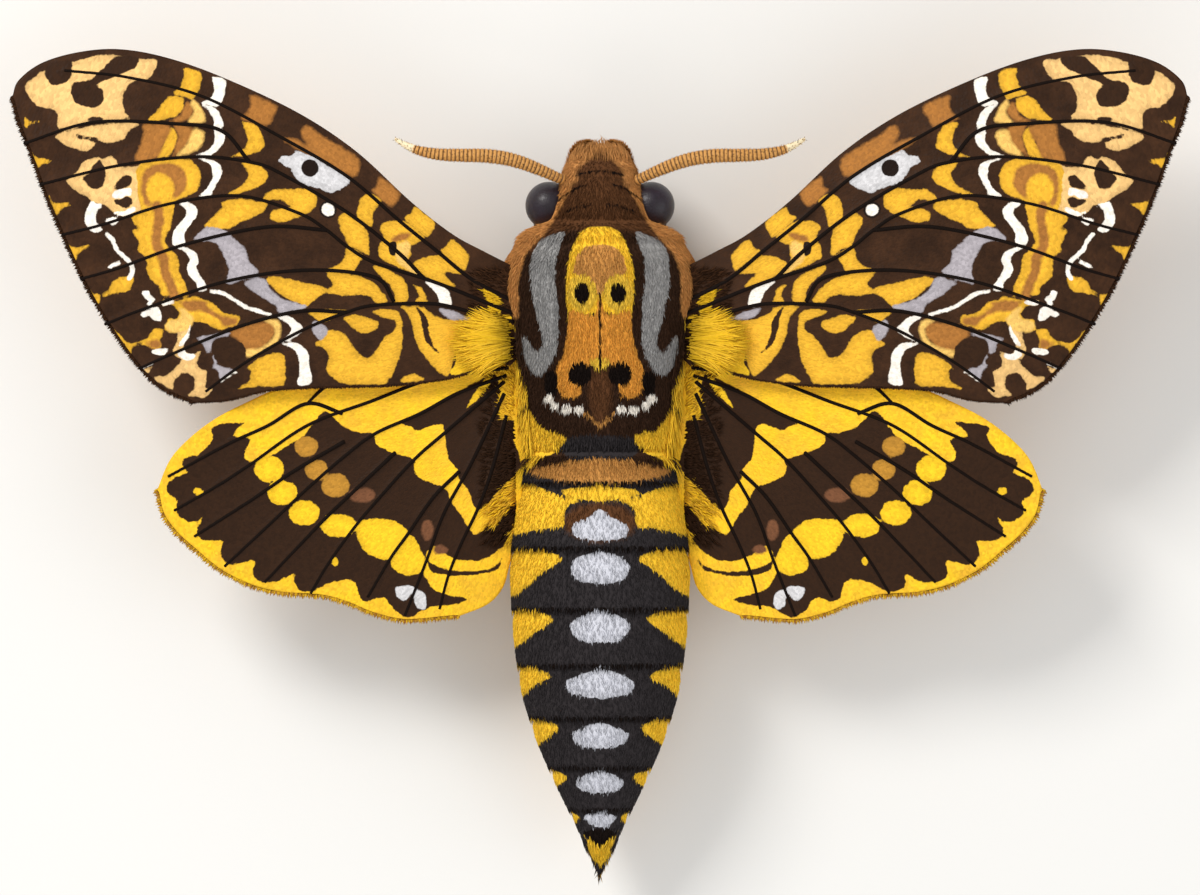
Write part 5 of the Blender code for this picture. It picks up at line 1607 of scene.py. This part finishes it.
def build_veins(name, lines, form):
    """The dark tubes that stiffen a wing: they stand out of the membrane above and below."""
    horn = material_of(ringed_material, "vein_horn", "vein", "black", (), 0.6, 0.03, 0.0, 0.05)
    tubes = []
    for line in lines:
        plan = even_points(line, max(4, int(run_lengths(line)[-1] / VEIN_STEP)))
        height = wing_height(form, plan[:, 0], plan[:, 1]) + settings().vein_height / MM * VEIN_SEAT
        radii = spread(VEIN_RADII, len(plan))
        tubes.append(drawn_skin(*tube_rings(np.column_stack([plan, height]), radii, VEIN_SIDES))[0])
    finish_pair(joined(tubes), f"{name}_veins_left", name, horn)


def upright(lie):
    """The direction nearest to straight up that stands square on each lie."""
    return unit(np.array([0.0, 0.0, 1.0]) - lie * lie[:, 2:])


def edge_roots(line, form, length, draw):
    """What coat() needs for a fringe along a wing's edge, pointing straight out of it."""
    count = int(run_lengths(line)[-1] / FRINGE_SPACING)
    fine = even_points(line, count)
    along = unit(np.gradient(fine, axis=0))
    outwards = np.column_stack([along[:, 1], -along[:, 0]])
    spots = fine - outwards * FRINGE_INSET
    lie = unit(np.column_stack([outwards, draw.normal(0, 0.05, count)]))
    heights = wing_height(form, spots[:, 0], spots[:, 1]) + draw.uniform(-0.07, 0.07, count)
    return {
        "spot": np.column_stack([spots, heights]),
        "lie": lie,
        "up": upright(lie),
        "length": length * draw.uniform(0.8, 1.15, count),
        "width": FRINGE_WIDTH * draw.uniform(0.8, 1.2, count),
        "lift": draw.normal(0, FRINGE_LIFT, count),
        "sway": draw.normal(0, 0.12, count),
        "bake": np.column_stack([np.linspace(0, 1, count), draw.uniform(0.3, 0.7, count)]),
        "shade": draw.uniform(0, 1, count),
        "marks": {},
    }


def merged(*sets):
    """Several sets of tufts as one, or of the distances to their marks."""
    found = {}
    for key, first in sets[0].items():
        values = [given[key] for given in sets]
        found[key] = merged(*values) if isinstance(first, dict) else np.concatenate(values)
    return found


def both_sides(roots):
    """The tufts of the left side and their mirror images, each on its half of the UV map."""
    flip = np.array([-1.0, 1.0, 1.0])
    left = {**roots, "bake": roots["bake"] * (0.5, 1.0)}
    right = {key: value * flip if key in ("spot", "lie", "up") else value for key, value in roots.items()}
    right["sway"] = -roots["sway"]
    right["bake"] = left["bake"] + (0.5, 0.0)
    return merged(left, right)


def wing_hair(form, marks, start, end, reach, count, fan, draw):
    """Hair over the root of a wing, lying outwards and back, above and below the membrane."""
    across = ROOT_ACROSS - ROOT_HAIR_INSET + reach * draw.uniform(0, 1, count) ** 1.6
    back = draw.uniform(start, end, count)
    side = np.where(draw.uniform(size=count) < ROOT_HAIR_TOP_SHARE, 1.0, -1.0)
    heights = wing_height(form, across, back) + side * ROOT_HAIR_STAND
    angle = fan * (back - (start + end) / 2) / (end - start) * 2 + draw.normal(0, 0.15, count)
    lie = unit(np.column_stack([np.cos(angle), np.sin(angle), np.full(count, form["rise"] * 0.8)]))
    plan = np.column_stack([across, back])
    return {
        "spot": np.column_stack([across, back, heights]),
        "lie": lie,
        "up": upright(lie) * side[:, None],
        "length": ROOT_HAIR * draw.uniform(0.6, 1.2, count),
        "width": ROOT_HAIR_WIDTH * draw.uniform(0.8, 1.2, count),
        "lift": np.abs(draw.normal(ROOT_HAIR_LIFT, 0.06, count)),
        "sway": draw.normal(0, 0.15, count),
        "bake": np.clip((plan - plan.min(0)) / (plan.max(0) - plan.min(0)), 0, 1),
        "shade": draw.uniform(0, 1, count),
        "marks": layer_distances(plan + lie[:, :2] * ROOT_HAIR * SEEN_SHARE, marks),
    }


def build_wings(name):
    """A pair of wings, with the fringe along their edge and the hair over their roots."""
    kind = WINGS[name]
    draw = np.random.default_rng(kind["seed"])
    finishes = (
        material_of(wing_material, f"{name}_top", *kind["top"], kind["layers"], TOP_MOTTLE),
        material_of(wing_material, f"{name}_under", *kind["under"], UNDER_LAYERS, UNDER_MOTTLE),
    )
    sides = build_membranes(name, kind, finishes)
    form, reach = kind["form"], settings().fringe / MM
    fringe = merged(*(
        edge_roots(sides[side][::way], form, reach * share, draw) for side, way, share in kind["fringe"]
    ))
    coat(f"{name}_fringe", both_sides(fringe), name, material_of(hair_material, *kind["fringe_hair"]))
    roots = wing_hair(form, kind["marks"], *kind["root_hair"], draw)
    marked = material_of(hair_material, f"{name}_hair", *kind["root_tones"], kind["layers"])
    coat(f"{name}_root_hair", both_sides(roots), name, marked)


# The fans: how widely roots and tips stray, height over the membrane with its spread, lift with its spread
FAN_TUFTS = 1100
FAN_STRAYS = (0.35, 0.4)
FAN_HEIGHTS = (0.2, 0.5)
FAN_LIFTS = (0.02, 0.1)
FAN_WIDTH = 0.11


def build_wing_tufts():
    """The fans of long yellow hair that spread from the shoulders over the forewings' roots."""
    draw = np.random.default_rng(SEED + 5)
    place = draw.uniform(0, len(FAN_ROOTS) - 1, FAN_TUFTS)
    start, end = (
        smooth_curve(line, place) + draw.normal(0, stray, (FAN_TUFTS, 2))
        for line, stray in zip((FAN_ROOTS, FAN_TIPS), FAN_STRAYS)
    )
    layer = draw.uniform(0, 1, FAN_TUFTS)
    height = wing_height(FOREWING_FORM, start[:, 0], start[:, 1]) + FAN_HEIGHTS[0] + FAN_HEIGHTS[1] * layer
    lie = unit(np.column_stack([unit(end - start), np.full(FAN_TUFTS, FOREWING_FORM["rise"] * 0.6)]))
    roots = {
        "spot": np.column_stack([start, height]),
        "lie": lie,
        "up": upright(lie),
        "length": np.linalg.norm(end - start, axis=1) * draw.uniform(0.65, 1.05, FAN_TUFTS),
        "width": FAN_WIDTH * draw.uniform(0.7, 1.2, FAN_TUFTS),
        "lift": FAN_LIFTS[0] + FAN_LIFTS[1] * layer,
        "sway": draw.normal(0, 0.12, FAN_TUFTS),
        "bake": np.column_stack([place / (len(FAN_ROOTS) - 1), layer]),
        "shade": draw.uniform(0, 1, FAN_TUFTS),
        "marks": {},
    }
    hair = material_of(hair_material, "wing_tuft_hair", "yellow", "tuft")
    left = coat("wing_tuft_hair_left", roots, "yellow_tuft", hair, 3)[0]
    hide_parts("wing_tuft_left")
    mirrored(left, "wing_tuft_hair_left", "wing_tuft_left")


EYE_SEGMENTS = 72
EYE_SHAPE = (0.98, 1.0, 1.0)


def build_eyes():
    """The two large domed eyes."""
    deselect()
    bpy.ops.mesh.primitive_uv_sphere_add(
        segments=EYE_SEGMENTS, ring_count=EYE_SEGMENTS // 2, radius=EYE_RADIUS * MM
    )
    obj = bpy.context.object
    set_points(obj, get_points(obj) * EYE_SHAPE + EYE_CENTRE)
    finish_pair(obj, "eye_dome_left", "eye", material_of(eye_material, "eye_facets"), "eye_left")


def tube_tufts(path, radii, sizes, draw, bake, across=None, cap=0):
    """What coat() needs for short tufts all round a path, lying along it, with a cap of them on its end.

    sizes holds their spacing, length, width and lift.
    """
    spacing, length, width, lift = sizes
    runs = run_lengths(path)
    found = []
    for row in np.arange(spacing / 2, runs[-1], spacing):
        radius = np.interp(row, runs, radii)
        count = max(5, int(2 * math.pi * radius / spacing))
        turn = ring_turns(count, draw)
        places = np.clip(row + draw.uniform(-0.5, 0.5, count) * spacing, 0, runs[-1])
        found.append(np.column_stack([places, turn, np.full(count, radius)]))
    if cap:
        tilt = np.arccos(draw.uniform(0.02, 0.8, cap))[:, None]
        turn = draw.uniform(0, 2 * math.pi, cap)
        found.append(np.column_stack([np.full(cap, runs[-1]), turn, np.full(cap, radii[-1])]))
    places, turn, radius = np.concatenate(found).T
    ahead, side, up = (read_along(axis, runs, places) for axis in path_axes(path, across))
    out = unit(side * np.cos(turn)[:, None] + up * np.sin(turn)[:, None])
    if cap:
        out[-cap:] = unit(ahead[-cap:] * np.cos(tilt) + out[-cap:] * np.sin(tilt))
    count = len(places)
    cell, cells = bake
    return {
        "spot": read_along(path, runs, places) + out * radius[:, None],
        "lie": unit(ahead - out * (ahead * out).sum(1)[:, None]),
        "up": out,
        "length": length * draw.uniform(0.7, 1.2, count),
        "width": width * draw.uniform(0.8, 1.2, count),
        "lift": lift * draw.uniform(0.6, 1.4, count),
        "sway": draw.normal(0, 0.12, count),
        "bake": np.column_stack([(cell + (turn / (2 * math.pi)) % 1) / cells, places / runs[-1]]),
        "shade": draw.uniform(0, 1, count),
        "marks": {},
    }


# Side direction of the parts that bend only up and down
ACROSS = (1.0, 0.0, 0.0)
# Palps. A tuft along a tube has its spacing, length, width and lift
PALP_POINTS = 30
PALP_SIDES = 32
PALP_TUFT = (0.18, 0.6, 0.07, 0.42)
PALP_CAP = 120


def build_palps():
    """The two upturned furry palps at the front of the head."""
    draw = np.random.default_rng(SEED + 6)
    path = even_points(PALP_PATH, PALP_POINTS)
    radii = spread(PALP_RADII, PALP_POINTS)
    obj, _along, _round = drawn_skin(*tube_rings(path, radii, PALP_SIDES, ACROSS))
    skin = material_of(ringed_material, "palp_skin", "crown", "head", (), 0.7, 0.1)
    finish_pair(obj, "palp_skin_left", "brown_fur", skin, "palp_left")
    roots = tube_tufts(path, radii, PALP_TUFT, draw, (0, 1), ACROSS, PALP_CAP)
    hair = material_of(hair_material, "palp_hair", "ochre", "head")
    coat("palp_fur", both_sides(roots), "brown_fur", hair)


def ring_places(share, rings):
    """How far each place along a ringed rod lies into its ring, from 0 to 1."""
    return (share * rings) % 1


# Antennae, with the skin's dip between joints, the half width of a dark ring and the start of the pale tip
ANTENNA_POINTS = 6
ANTENNA_SIDES = 24
ANTENNA_DIP = 0.13
ANTENNA_LENGTH = 19.5
ANTENNA_RING = 0.06
PALE_TIP = 0.88
BRISTLE = (0.3, 0.3, 0.045, 0.6)
ANTENNA_LAYERS = (("ring", "antenna_ring", 0.05, 0.0, 0.04), ("pale", "antenna_tip", 0.3, 0.0, 0.1))


def build_antennae():
    """The thick ringed antennae with their hooked pale tips."""
    draw = np.random.default_rng(SEED + 7)
    path = even_points(ANTENNA_PATH, ANTENNA_JOINTS * ANTENNA_POINTS)
    radii = spread(ANTENNA_RADII, len(path))
    joint = ring_places(np.linspace(0, 1, len(path)), ANTENNA_JOINTS)
    swell = 1 - ANTENNA_DIP * np.abs(2 * joint - 1) ** 2
    obj, along, _round = drawn_skin(*tube_rings(path, radii * swell, ANTENNA_SIDES))
    place = np.abs(ring_places(along, ANTENNA_JOINTS) - 0.5)
    set_values(obj.data, "ring", (0.5 - place) * ANTENNA_LENGTH / ANTENNA_JOINTS - ANTENNA_RING)
    set_values(obj.data, "pale", (PALE_TIP - along) * ANTENNA_LENGTH)
    horn = material_of(ringed_material, "antenna_horn", "antenna", "tan", ANTENNA_LAYERS, 0.5, 0.05)
    finish_pair(obj, "antenna_rod_left", "antenna", horn, "antenna_left")
    hair = material_of(hair_material, "antenna_hair", "antenna_ring", "antenna")
    coat("antenna_bristles", both_sides(tube_tufts(path, radii, BRISTLE, draw, (0, 1))), "antenna", hair)


def coil_path():
    """The tongue: from the underside of the head down and round into a short coil."""
    outer, inner = PROBOSCIS_COIL
    centre = np.array(PROBOSCIS_CENTRE)
    path = [centre + (0, outer * 0.9, 3.4), centre + (0, outer, 1.6)]
    for share in np.linspace(0, 1, 60):
        angle = -2 * math.pi * PROBOSCIS_TURNS * share
        reach = outer + (inner - outer) * share
        path.append(centre + (0, reach * math.cos(angle), reach * math.sin(angle)))
    return np.array(path)


# Tongue, with the skin's dip between rings and the half width of the dark line there
TONGUE_RINGS = 70
TONGUE_POINTS = 4
TONGUE_SIDES = 20
TONGUE_DIP = 0.08
TONGUE_RING_LENGTH = 0.25
TONGUE_LINE = 0.03
TONGUE_LAYERS = (("ring", "black", 0.04, 0.0, 0.03),)


def build_tongue():
    """The coiled tongue, finely ringed."""
    path = even_points(coil_path(), TONGUE_RINGS * TONGUE_POINTS)
    joint = ring_places(np.linspace(0, 1, len(path)), TONGUE_RINGS)
    radii = spread(PROBOSCIS_RADII, len(path)) * (1 - TONGUE_DIP * np.abs(2 * joint - 1))
    obj, along, _round = drawn_skin(*tube_rings(path, radii, TONGUE_SIDES, ACROSS))
    place = np.abs(ring_places(along, TONGUE_RINGS) - 0.5)
    set_values(obj.data, "ring", place * TONGUE_RING_LENGTH - TONGUE_LINE)
    horn = material_of(ringed_material, "tongue_horn", "tongue", "umber", TONGUE_LAYERS, 0.38, 0.03, 0.3)
    finish_piece(obj, "tongue_coil", "proboscis", horn, "proboscis")


def bent_path(joints, step, rounding):
    """Points along straight pieces between joints, with the bends rounded."""
    points = [np.array(joints[0], float)[None]]
    for start, end in zip(np.array(joints, float), np.array(joints, float)[1:]):
        count = max(2, int(np.linalg.norm(end - start) / step))
        points.append(start + (end - start) * np.linspace(0, 1, count + 1)[1:, None])
    fine = np.vstack(points)
    window = max(1, int(rounding / step)) | 1
    half = window // 2
    padded = np.vstack([
        2 * fine[0] - fine[half:0:-1],
        fine,
        2 * fine[-1] - fine[-2 : -half - 2 : -1],
    ])
    kernel = np.ones(window) / window
    return np.column_stack([np.convolve(padded[:, axis], kernel, "valid") for axis in range(3)])


# Spurs and claws
THORN_RINGS = 12
THORN_SIDES = 10
THORN_TAPER = 0.85
SPUR_RADIUS = 0.2
CLAW_RADIUS = 0.16
# A spur's middle and tip: sideways, down the shin, and the share of its length for both
SPUR_MIDDLE = (0.75, 0.35, 0.55)
SPUR_TIP = (0.8, 0.75, 1.0)
# A claw's root before the toe, and the shares of its reach and spread at its middle
CLAW_ROOT = 0.2
CLAW_MIDDLE = (0.45, 0.75)
CLAW_HEIGHT = 0.1


def thorn(points, radius):
    """A short horny spine that tapers to a point."""
    path = even_points(points, THORN_RINGS)
    taper = 1 - np.linspace(0, THORN_TAPER, THORN_RINGS) ** 1.5
    return drawn_skin(*tube_rings(path, radius * taper, THORN_SIDES))[0]


def joined(objects):
    """Several objects as one."""
    deselect()
    for obj in objects:
        obj.select_set(True)
    bpy.context.view_layer.objects.active = objects[0]
    bpy.ops.object.join()
    return bpy.context.object


def leg_thorns(pair, knee, ankle, foot, toe):
    """The spurs of the shin and the two claws of the foot."""
    down = unit(ankle - knee)
    side = unit(np.cross(down, (0, 0, 1)))
    found = []
    for place, sign, length in SPURS[pair]:
        start = knee + (ankle - knee) * place
        middle, end = (
            start + (side * sign * sideways + down * downwards) * length * share
            for sideways, downwards, share in (SPUR_MIDDLE, SPUR_TIP)
        )
        found.append(thorn((start, middle, end), SPUR_RADIUS))
    run = unit(toe - foot)
    side = unit(np.cross(run, (0, 0, 1)))
    for sign in (1, -1):
        forward, sideways = run * CLAW_REACH, side * sign * CLAW_SPREAD
        middle = toe + forward * CLAW_MIDDLE[0] + sideways * CLAW_MIDDLE[1] + (0, 0, CLAW_HEIGHT)
        end = toe + forward + sideways
        end[2] = CLAW_HEIGHT
        found.append(thorn((toe - run * CLAW_ROOT, middle, end), CLAW_RADIUS))
    return found


# Legs: where the foot touches down on its way to the toe, the step and rounding of the path, the places of
# the radii along thigh and shin, how deep the foot's beads are cut, and how many points even out the radii
TOUCH_DOWN = 0.12
LEG_STEP = 0.12
LEG_ROUNDING = 0.7
RADII_PLACES = (0.0, 0.3, 0.7, 1.0)
BEAD_CUT = 0.28
LEG_SIDES = 18
LEG_EVENING = 5
# Half width of a foot's pale rings
PALE_RING = 0.16
LEG_LAYERS = (("pale", "leg_pale", 0.12, 0.0, 0.06),)
# Tufts of leg and foot, how deep they root, and the lowest heights of the foot's top and of any root
LEG_TUFT = (0.24, 0.62, 0.08, 0.32)
FOOT_TUFT = (0.3, 0.28, 0.05, 0.3)
LEG_ROOTING = 0.03
FOOT_ROOTING = 0.02
FOOT_TOP = 0.3
LOWEST_ROOT = 0.18


def leg_shape(knee, ankle, foot, path):
    """The radii along a leg's path, and how far along it its points, its ankle and its foot lie."""
    runs = run_lengths(path)
    knee_run, ankle_run, foot_run = (
        runs[np.argmin(np.linalg.norm(path - spot, axis=1))] for spot in (knee, ankle, foot)
    )
    thigh = np.interp(runs / knee_run, RADII_PLACES, FEMUR_RADII)
    shin = np.interp((runs - knee_run) / (ankle_run - knee_run), RADII_PLACES, TIBIA_RADII)
    place = np.clip((runs - foot_run) / (runs[-1] - foot_run), 0, 1)
    beads = 1 - BEAD_CUT + BEAD_CUT * np.sqrt(ring_places(place, TARSUS_JOINTS))
    toes = (TARSUS_RADII[0] + (TARSUS_RADII[1] - TARSUS_RADII[0]) * place) * beads
    radii = np.where(runs < knee_run, thigh, np.where(runs < ankle_run, shin, toes))
    radii = np.pad(radii, LEG_EVENING // 2, "edge")
    return np.convolve(radii, np.ones(LEG_EVENING) / LEG_EVENING, "valid"), runs, ankle_run, foot_run


def build_legs():
    """The six legs: furry thigh and shin, spurs, a five-jointed foot and two claws."""
    draw = np.random.default_rng(SEED + 8)
    skin = material_of(ringed_material, "leg_skin", "leg", "umber", LEG_LAYERS, 0.6, 0.05)
    horn = material_of(ringed_material, "claw_horn", "claw", "tongue", (), 0.35, 0.02, 0.3)
    coats = []
    for number, (pair, joints) in enumerate(LEGS.items()):
        root, knee, ankle, toe = (np.array(joint, float) for joint in joints)
        foot = np.array([ankle[0], ankle[1], toe[2]]) * (1 - TOUCH_DOWN) + toe * TOUCH_DOWN
        path = bent_path((root, knee, ankle, foot, toe), LEG_STEP, LEG_ROUNDING)
        radii, runs, ankle_run, foot_run = leg_shape(knee, ankle, foot, path)
        rings, tips = tube_rings(path, radii, LEG_SIDES)
        rings[:, :, 2] = np.maximum(rings[:, :, 2], 0.0)
        obj, along, _round = drawn_skin(rings, tips)
        spots = foot_run + (runs[-1] - foot_run) * np.arange(1, TARSUS_JOINTS) / TARSUS_JOINTS
        from_ring = np.abs((along * runs[-1])[:, None] - np.array([*spots, ankle_run])[None]).min(1)
        set_values(obj.data, "pale", from_ring - PALE_RING)
        nodes = [f"{pair}leg_left_{part}" for part in ("femur", "tibia", "tarsus")]
        finish_pair(obj, f"{pair}leg_skin_left", "leg", skin, *nodes)
        thorns = leg_thorns(pair, knee, ankle, foot, toe)
        finish_pair(joined(thorns), f"{pair}leg_claws_left", "leg", horn)
        furry = runs < ankle_run
        bare = ~furry & (path[:, 2] + radii > FOOT_TOP)
        cell = (number, len(LEGS))
        for chosen, rooting, tuft in ((furry, LEG_ROOTING, LEG_TUFT), (bare, FOOT_ROOTING, FOOT_TUFT)):
            coats.append(tube_tufts(path[chosen], radii[chosen] - rooting, tuft, draw, cell))
    roots = merged(*coats)
    kept = roots["spot"][:, 2] > LOWEST_ROOT
    roots = {key: value if key == "marks" else value[kept] for key, value in roots.items()}
    hair = material_of(hair_material, "leg_hair", "leg", "wing_base_light")
    coat("leg_fur", both_sides(roots), "leg", hair)


# Stage, in metres. The picture's frame is measured at the height of the wings
FLOOR_SIZE = 1.6
FLOOR_PARTS = 8
CLIP_DISTANCES = (0.05, 5.0)
WING_LEVEL = 0.015
LIGHT_TARGET = (0, 0, 0.01)
WORLD_STRENGTH = 0.58
# Lights: name, place, power, size and colour
LIGHTS = (
    ("key", (0.3, -0.36, 0.42), 2.6, 0.22, (1.0, 0.98, 0.95)),
    ("fill", (-0.45, 0.1, 0.4), 0.9, 0.5, (0.95, 0.97, 1.0)),
    ("back", (0.1, 0.5, 0.35), 0.8, 0.4, (1.0, 1.0, 1.0)),
)


def add_light(name, location, energy, size, colour):
    """A soft square light that points at the middle of the moth."""
    lamp = bpy.data.lights.new(name, "AREA")
    lamp.energy = energy
    lamp.size = size
    lamp.color = colour
    obj = add_object(name, lamp)
    obj.location = location
    obj.rotation_euler = (Vector(LIGHT_TARGET) - Vector(location)).to_track_quat("-Z", "Y").to_euler()


def build_stage():
    """Pale floor, soft lights and the camera straight above."""
    deselect()
    parts = {"x_subdivisions": FLOOR_PARTS, "y_subdivisions": FLOOR_PARTS}
    bpy.ops.mesh.primitive_grid_add(size=FLOOR_SIZE, **parts)
    floor = bpy.context.object
    floor.name = floor.data.name = "floor"
    floor.data.materials.append(floor_material("pale_board"))
    for sizes in LIGHTS:
        add_light(*sizes)
    scene = bpy.context.scene
    scene.world = bpy.data.worlds.new("pale_room")
    scene.world.use_nodes = True
    sky = scene.world.node_tree.nodes["Background"]
    sky.inputs["Color"].default_value = (1.0, 1.0, 1.0, 1.0)
    sky.inputs["Strength"].default_value = WORLD_STRENGTH
    lens = bpy.data.cameras.new("overhead")
    lens.sensor_width = SENSOR_WIDTH
    lens.lens = SENSOR_WIDTH * CAMERA_HEIGHT / FRAME_WIDTH
    lens.clip_start, lens.clip_end = CLIP_DISTANCES
    camera = add_object("overhead", lens)
    camera.location = (*FRAME_CENTRE, CAMERA_HEIGHT + WING_LEVEL)
    camera.rotation_euler = (0.0, 0.0, math.pi)
    scene.camera = camera
    scene.view_settings.view_transform = "Standard"


class HawkmothSettings(bpy.types.PropertyGroup):
    """Sizes and colours that a user would change."""

    gold: bpy.props.FloatVectorProperty(
        name="Forewing gold", description="Colour of the golden patches of the forewings",
        default=(0.855, 0.456, 0.034), min=0.0, max=1.0, size=3, subtype="COLOR",
    )
    hind_yellow: bpy.props.FloatVectorProperty(
        name="Hindwing yellow", description="Ground colour of the hindwings",
        default=(0.96, 0.58, 0.021), min=0.0, max=1.0, size=3, subtype="COLOR",
    )
    thorax: bpy.props.FloatVectorProperty(
        name="Thorax brown", description="Ground colour of the fur on the thorax",
        default=(0.048, 0.023, 0.013), min=0.0, max=1.0, size=3, subtype="COLOR",
    )
    pale: bpy.props.FloatVectorProperty(
        name="Abdomen patches", description="Colour of the pale patches along the abdomen",
        default=(0.652, 0.658, 0.716), min=0.0, max=1.0, size=3, subtype="COLOR",
    )
    eye: bpy.props.FloatVectorProperty(
        name="Eyes", description="Colour of the eyes",
        default=(0.024, 0.016, 0.03), min=0.0, max=1.0, size=3, subtype="COLOR",
    )
    fur_spacing: bpy.props.FloatProperty(
        name="Fur spacing", description="Distance between the roots of the tufts on the head and thorax",
        default=0.0002, min=0.0001, max=0.002, precision=6, subtype="DISTANCE", unit="LENGTH",
    )
    thorax_hair: bpy.props.FloatProperty(
        name="Thorax hair", description="Length of the tufts on the thorax",
        default=0.00095, min=0.0003, max=0.004, precision=5, subtype="DISTANCE", unit="LENGTH",
    )
    scale_spacing: bpy.props.FloatProperty(
        name="Scale spacing", description="Distance between the roots of the abdomen's tufts",
        default=0.00029, min=0.0001, max=0.002, precision=6, subtype="DISTANCE", unit="LENGTH",
    )
    abdomen_hair: bpy.props.FloatProperty(
        name="Abdomen hair", description="Length of the abdomen's tufts",
        default=0.00075, min=0.0002, max=0.003, precision=5, subtype="DISTANCE", unit="LENGTH",
    )
    wing_thickness: bpy.props.FloatProperty(
        name="Wing thickness", description="Thickness of the wing membranes",
        default=0.00022, min=0.0001, max=0.0005, precision=5, subtype="DISTANCE", unit="LENGTH",
    )
    vein_height: bpy.props.FloatProperty(
        name="Vein height", description="How far the veins stand up from the membrane",
        default=0.00016, min=0.0, max=0.0003, precision=5, subtype="DISTANCE", unit="LENGTH",
    )
    pleat_depth: bpy.props.FloatProperty(
        name="Pleat depth", description="How far the membrane sinks between the veins",
        default=0.00013, min=0.0, max=0.0003, precision=5, subtype="DISTANCE", unit="LENGTH",
    )
    fringe: bpy.props.FloatProperty(
        name="Fringe", description="Reach of the fringe along the outer edge of the wings",
        default=0.0007, min=0.0002, max=0.002, precision=5, subtype="DISTANCE", unit="LENGTH",
    )


class HAWKMOTH_OT_trunk(bpy.types.Operator):
    """Add the skin of the head, thorax and abdomen"""

    bl_idname = "hawkmoth.trunk"
    bl_label = "Trunk skin"

    def execute(self, context):
        build_trunk()
        return {"FINISHED"}


class HAWKMOTH_OT_fur(bpy.types.Operator):
    """Add the fur of the head and thorax and the long locks behind it"""

    bl_idname = "hawkmoth.fur"
    bl_label = "Head and thorax fur"

    def execute(self, context):
        build_front_fur()
        build_long_locks()
        return {"FINISHED"}


class HAWKMOTH_OT_abdomen(bpy.types.Operator):
    """Add the close scales and fringes of the abdomen"""

    bl_idname = "hawkmoth.abdomen"
    bl_label = "Abdomen scales"

    def execute(self, context):
        build_abdomen_scales()
        return {"FINISHED"}


class HAWKMOTH_OT_forewings(bpy.types.Operator):
    """Add both forewings"""

    bl_idname = "hawkmoth.forewings"
    bl_label = "Forewings"

    def execute(self, context):
        build_wings("forewing")
        return {"FINISHED"}


class HAWKMOTH_OT_hindwings(bpy.types.Operator):
    """Add both hindwings"""

    bl_idname = "hawkmoth.hindwings"
    bl_label = "Hindwings"

    def execute(self, context):
        build_wings("hindwing")
        return {"FINISHED"}


class HAWKMOTH_OT_wing_tufts(bpy.types.Operator):
    """Add the yellow fans of hair over the wing roots"""

    bl_idname = "hawkmoth.wing_tufts"
    bl_label = "Wing tufts"

    def execute(self, context):
        build_wing_tufts()
        return {"FINISHED"}


class HAWKMOTH_OT_eyes(bpy.types.Operator):
    """Add the eyes"""

    bl_idname = "hawkmoth.eyes"
    bl_label = "Eyes"

    def execute(self, context):
        build_eyes()
        return {"FINISHED"}


class HAWKMOTH_OT_mouthparts(bpy.types.Operator):
    """Add the palps and the coiled tongue"""

    bl_idname = "hawkmoth.mouthparts"
    bl_label = "Palps and tongue"

    def execute(self, context):
        build_palps()
        build_tongue()
        return {"FINISHED"}


class HAWKMOTH_OT_antennae(bpy.types.Operator):
    """Add the antennae"""

    bl_idname = "hawkmoth.antennae"
    bl_label = "Antennae"

    def execute(self, context):
        build_antennae()
        return {"FINISHED"}


class HAWKMOTH_OT_legs(bpy.types.Operator):
    """Add the six legs"""

    bl_idname = "hawkmoth.legs"
    bl_label = "Legs"

    def execute(self, context):
        build_legs()
        return {"FINISHED"}


class HAWKMOTH_OT_stage(bpy.types.Operator):
    """Add the floor, the lights and the camera"""

    bl_idname = "hawkmoth.stage"
    bl_label = "Stage"

    def execute(self, context):
        build_stage()
        return {"FINISHED"}


OPERATORS = (
    HAWKMOTH_OT_trunk,
    HAWKMOTH_OT_fur,
    HAWKMOTH_OT_abdomen,
    HAWKMOTH_OT_forewings,
    HAWKMOTH_OT_hindwings,
    HAWKMOTH_OT_wing_tufts,
    HAWKMOTH_OT_eyes,
    HAWKMOTH_OT_mouthparts,
    HAWKMOTH_OT_antennae,
    HAWKMOTH_OT_legs,
    HAWKMOTH_OT_stage,
)


class HAWKMOTH_PT_panel(bpy.types.Panel):
    """The hawkmoth's sizes and pieces"""

    bl_idname = "HAWKMOTH_PT_panel"
    bl_label = "Hawkmoth"
    bl_space_type = "VIEW_3D"
    bl_region_type = "UI"
    bl_category = "Hawkmoth"

    def draw(self, context):
        for name in HawkmothSettings.__annotations__:
            self.layout.prop(context.scene.hawkmoth, name)
        for operator in OPERATORS:
            self.layout.operator(operator.bl_idname)


CLASSES = (HawkmothSettings, *OPERATORS, HAWKMOTH_PT_panel)


def register():
    for made in CLASSES:
        bpy.utils.register_class(made)
    bpy.types.Scene.hawkmoth = bpy.props.PointerProperty(type=HawkmothSettings)


def unregister():
    del bpy.types.Scene.hawkmoth
    for made in reversed(CLASSES):
        bpy.utils.unregister_class(made)


def main():
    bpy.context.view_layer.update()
    register()
    bpy.ops.hawkmoth.trunk()
    bpy.ops.hawkmoth.fur()
    bpy.ops.hawkmoth.abdomen()
    bpy.ops.hawkmoth.forewings()
    bpy.ops.hawkmoth.hindwings()
    bpy.ops.hawkmoth.wing_tufts()
    bpy.ops.hawkmoth.eyes()
    bpy.ops.hawkmoth.mouthparts()
    bpy.ops.hawkmoth.antennae()
    bpy.ops.hawkmoth.legs()
    bpy.ops.hawkmoth.stage()


if __name__ == "__main__":
    main()
